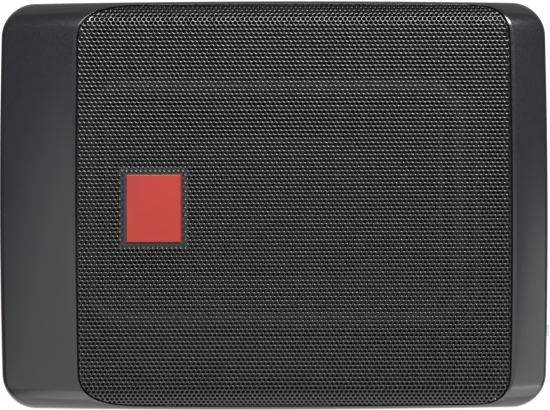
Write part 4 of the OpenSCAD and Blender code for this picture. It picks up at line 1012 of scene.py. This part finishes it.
class SUBWOOFER_OT_driver(PieceOperator, bpy.types.Operator):
    """Cone, dust cap, half roll, spider and leads, and the frame and motor that carry them"""

    bl_idname = "subwoofer.driver"
    bl_label = "Driver"
    kept = {
        "cast_frame": ["driver_basket"],
        "sponge_rubber": ["driver_gasket"],
        "black_zinc": ["driver_screws"],
        "polyimide": ["voice_coil_former"],
        "enamelled_copper": ["voice_coil"],
        "zinc_plate": ["top_plate", "yoke"],
        "sintered_ferrite": ["magnet"],
        "black_nylon": ["driver_terminal"],
        "vinyl_sleeve": ["speaker_leads"],
    }
    # half length, half width and corner radius of the cone inside its rim, and radius of its round neck
    CONE = np.array([77.4, 44.9, 5.4])
    NECK = 25.45
    # height of the rim's top, depth from there to the neck, how evenly the cone falls, and its skin
    RIM_TOP = 51
    DEPTH = 11
    FALL = 0.9
    CONE_SKIN = 1.2
    RIM = 3.4

    def build(self, scene):
        self.cone()
        self.dust_cap()
        self.surround()
        self.spider()
        self.tinsel_leads()

    def cone_size(self, t):
        """Half length, half width and corner radius of the cone, from its rim at 0 to its neck at 1."""
        return self.CONE * (1 - t) + self.NECK * t

    def cone_height(self, t):
        return self.RIM_TOP - self.DEPTH * t ** self.FALL

    def cone_ring(self, t, drop=0.0):
        return level(track(*self.cone_size(t)), self.cone_height(t) - drop)

    def cone(self):
        steps = np.linspace(0, 1, 14)
        rim = track(*(self.CONE + self.RIM))
        rings = [level(rim, self.RIM_TOP - self.CONE_SKIN), level(rim, self.RIM_TOP)]
        rings += [self.cone_ring(t) for t in steps]
        rings += [self.cone_ring(t, self.CONE_SKIN) for t in steps[::-1]]
        made = piece("cone_skin", [loft(rings)], "filled_polypropylene", "cone_assembly")
        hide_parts("cone")

    def dust_cap(self):
        # how far down the cone the cap is glued, its height with its rounded edge, and its skin
        seat = 0.6
        cap_h = 3.0
        skin = 1.0
        base = self.cone_height(seat)
        size = self.cone_size(seat) - cap_h
        turns = np.linspace(0, math.pi / 2, 8)
        top = [level(track(*(size * q)), base + cap_h) for q in (0.25, 0.6)]
        under = [level(track(*(size * q)), base + cap_h - skin) for q in (0.6, 0.25)]
        outside = [self.cap_ring(size, base, cap_h, a) for a in turns[::-1]]
        inside = [self.cap_ring(size, base, cap_h - skin, a) for a in turns]
        rings = top + outside + inside + under
        parts = [loft(rings, capped=True)]
        made = piece("dust_cap_skin", parts, "filled_polypropylene", "cone_assembly")
        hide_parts("dust_cap")

    def cap_ring(self, size, base, r, a):
        """Ring of the cap's rounded edge at an angle up from its foot."""
        return level(track(*(size + r * np.cos(a))), base + r * np.sin(a))

    def follow(self, made, t, count):
        """Bakes the piece's place into its mesh, without bending it. How far along the way each ring lies,
        and the count, are not used.
        """
        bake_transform(made)

    def surround(self):
        # radius and skin of the half roll, the height of its seat, and the middle line that it follows
        roll = 7.0
        skin = 0.9
        seat = 52
        middle = np.array([87.4, 54.9, 15.4])
        a = np.linspace(0, math.pi, 25)
        outer = [(roll * math.cos(b), seat + roll * math.sin(b)) for b in a]
        inner = [((roll - skin) * math.cos(b), seat + (roll - skin) * math.sin(b)) for b in a[::-1]]
        section = [(10.3, seat - 1), (10.3, seat - 0.3), (10.0, seat), (roll + 0.6, seat + 0.1)] + outer
        section += [(-roll - 0.5, seat + 0.1), (-9.2, seat), (-9.5, seat - 0.3), (-9.5, seat - 1)] + inner
        rings = [level(track(*(middle + o)), z) for o, z in section]
        made = piece("surround_roll", [loft(rings)], "butyl_rubber")
        t = np.clip((roll - np.array([o for o, _ in section])) / (2 * roll), 0, 1)
        self.follow(made, t, len(rings[0]))
        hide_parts("surround")

    def spider(self):
        # height of the shelf that the spider is glued to, and its inner, waved and outer radius
        shelf = 33.0
        r0 = 25.4
        r1 = 43.0
        r2 = 46
        sides = 96
        u = np.linspace(0, 1, 97)
        wave = 0.5 + 0.9 * np.sin(u * 8 * math.pi) * np.sin(u * math.pi)
        top = np.column_stack([r0 + (r1 - r0) * u, wave + 0.1])
        section = np.vstack([top, [[r2, 0.6], [r2, 0], [r1, 0]], (top - [0, 0.5])[:-1][::-1]])
        rings = [level(circle(sides) * r, shelf + z) for r, z in section]
        made = piece("spider_cloth", [loft(rings)], "resin_cloth")
        t = np.clip((r1 - section[:, 0]) / (r1 - r0), 0, 1)
        self.follow(made, t, sides)
        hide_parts("spider")

    def tinsel_leads(self):
        # radius of a lead, and its sides
        r = 0.6
        sides = 12
        t = np.linspace(0, 1, 41)
        u = 1 - t
        curve = np.stack([u ** 3, 3 * t * u ** 2, 3 * t ** 2 * u, t ** 3], axis=1)
        parts = []
        for s in (-1, 1):
            # from the terminal, past two points that shape the curve, to the back of the cone
            way = [[100.5, s * 8, 40], [100.5, s * 17, 40], [80, s * 14, 33], [51.425, s * 9, 43.003]]
            path = curve @ np.array(way)
            ahead = unit(np.gradient(path, axis=0))
            side = unit(np.cross(ahead, [0, 0, 1]))
            up = np.cross(side, ahead)
            rings = [p + r * circle(sides) @ np.array(axes) for p, *axes in zip(path, side, up)]
            parts.append(loft(rings, capped=True))
        made = piece("tinsel_braid", parts, "enamelled_copper")
        self.follow(made, np.tile(t, 2), sides)
        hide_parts("tinsel_leads")


class SUBWOOFER_OT_electronics(PieceOperator, bpy.types.Operator):
    """Boards and what stands on them"""

    bl_idname = "subwoofer.electronics"
    bl_label = "Electronics"
    kept = {
        "solder_mask": ["amp_board", "control_board"],
        "black_nylon": ["board_header", "power_transistors", "phono_block"],
        "shrink_sleeve": ["capacitors"],
        "enamelled_copper": ["toroid"],
        "extruded_aluminium": ["heat_sink"],
        "zinc_plate": ["board_screws", "switch_bodies"],
        "phenolic": ["potentiometers"],
    }


class SUBWOOFER_OT_controls(PieceOperator, bpy.types.Operator):
    """Control panel with its knobs, buttons, jacks, light and printed dial marks"""

    bl_idname = "subwoofer.controls"
    bl_label = "Controls"
    knobs = ["level_knob", "crossover_knob", "bass_boost_knob"]
    kept = {
        "black_nylon": [
            "control_panel", *knobs, "phase_button", "turn_on_button", "harness_socket", "remote_jack"],
        "black_zinc": ["panel_screws"],
        "gold_flash": ["phono_shells"],
        "white_nylon": ["phono_insulator_white"],
        "red_nylon": ["phono_insulator_red"],
        "zinc_plate": ["harness_pins"],
        "lens_acrylic": ["power_light"],
    }
    # each knob's turn from the middle, and the step between the marks of its dial, in degrees
    TURN = 140
    MARK_STEP = 28

    def build(self, scene):
        marks = []
        for knob in self.knobs:
            low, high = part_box(knob)
            face = high.x / MM
            y = (low.y + high.y) / 2 / MM
            z = (low.z + high.z) / 2 / MM
            # white line let into the knob's face, from near its middle to its edge
            parts = [bar(face - 0.58, face - 0.12, y - 0.42, y + 0.42, z + 1.1, z + 4.4)]
            piece(knob + "_pointer", parts, "printed_ink", knob)
            for degrees in range(-self.TURN, self.TURN + 1, self.MARK_STEP):
                marks.append(self.tick(y, z, math.radians(degrees), abs(degrees) == self.TURN))
        piece("dial_marks", marks, "printed_ink", "enclosure")

    def tick(self, y, z, turn, end):
        """Short printed line on the panel beside a knob, a little longer at the ends of its dial."""
        points, faces = bar(PANEL_FRONT - 0.02, PANEL_FRONT + 0.05, -0.16, 0.16, 5.5, 6.4 if end else 6.1)
        c, s = math.cos(turn), math.sin(turn)
        turned = points.copy()
        turned[:, 1] = y + c * points[:, 1] - s * points[:, 2]
        turned[:, 2] = z + s * points[:, 1] + c * points[:, 2]
        return turned, faces


class SUBWOOFER_OT_fuse(PieceOperator, bpy.types.Operator):
    """Blade fuse in its holder"""

    bl_idname = "subwoofer.fuse"
    bl_label = "Fuse"
    kept = {
        "black_nylon": ["fuse_holder"],
        "tinted_polycarbonate": ["fuse_body"],
        "zinc_plate": ["fuse_blades"],
    }


class SUBWOOFER_PT_pieces(bpy.types.Panel):
    """Pieces of the subwoofer and their settings"""

    bl_label = "Subwoofer"
    bl_idname = "SUBWOOFER_PT_pieces"
    bl_space_type = "VIEW_3D"
    bl_region_type = "UI"
    bl_category = "Subwoofer"

    def draw(self, context):
        for group in SETTINGS:
            box = self.layout.box()
            settings = getattr(context.scene, group)
            for key in settings.__annotations__:
                box.prop(settings, key)
        for operator in OPERATORS:
            self.layout.operator(operator.bl_idname)


SETTINGS = {
    "subwoofer_housing": HousingSizes,
    "subwoofer_grille": GrilleSizes,
    "subwoofer_colours": FinishColours,
    "subwoofer_stage": StageSettings,
}
OPERATORS = [
    SUBWOOFER_OT_stage,
    SUBWOOFER_OT_upper_housing,
    SUBWOOFER_OT_lower_housing,
    SUBWOOFER_OT_grille,
    SUBWOOFER_OT_badge,
    SUBWOOFER_OT_driver,
    SUBWOOFER_OT_electronics,
    SUBWOOFER_OT_controls,
    SUBWOOFER_OT_fuse,
]


def register():
    for made in [*SETTINGS.values(), *OPERATORS, SUBWOOFER_PT_pieces]:
        bpy.utils.register_class(made)
    for key, group in SETTINGS.items():
        setattr(bpy.types.Scene, key, PointerProperty(type=group))


def unregister():
    for key in SETTINGS:
        delattr(bpy.types.Scene, key)
    for made in reversed([*SETTINGS.values(), *OPERATORS, SUBWOOFER_PT_pieces]):
        bpy.utils.unregister_class(made)


def main():
    register()
    for operator in OPERATORS:
        group, name = operator.bl_idname.split(".")
        getattr(getattr(bpy.ops, group), name)()


if __name__ == "__main__":
    main()
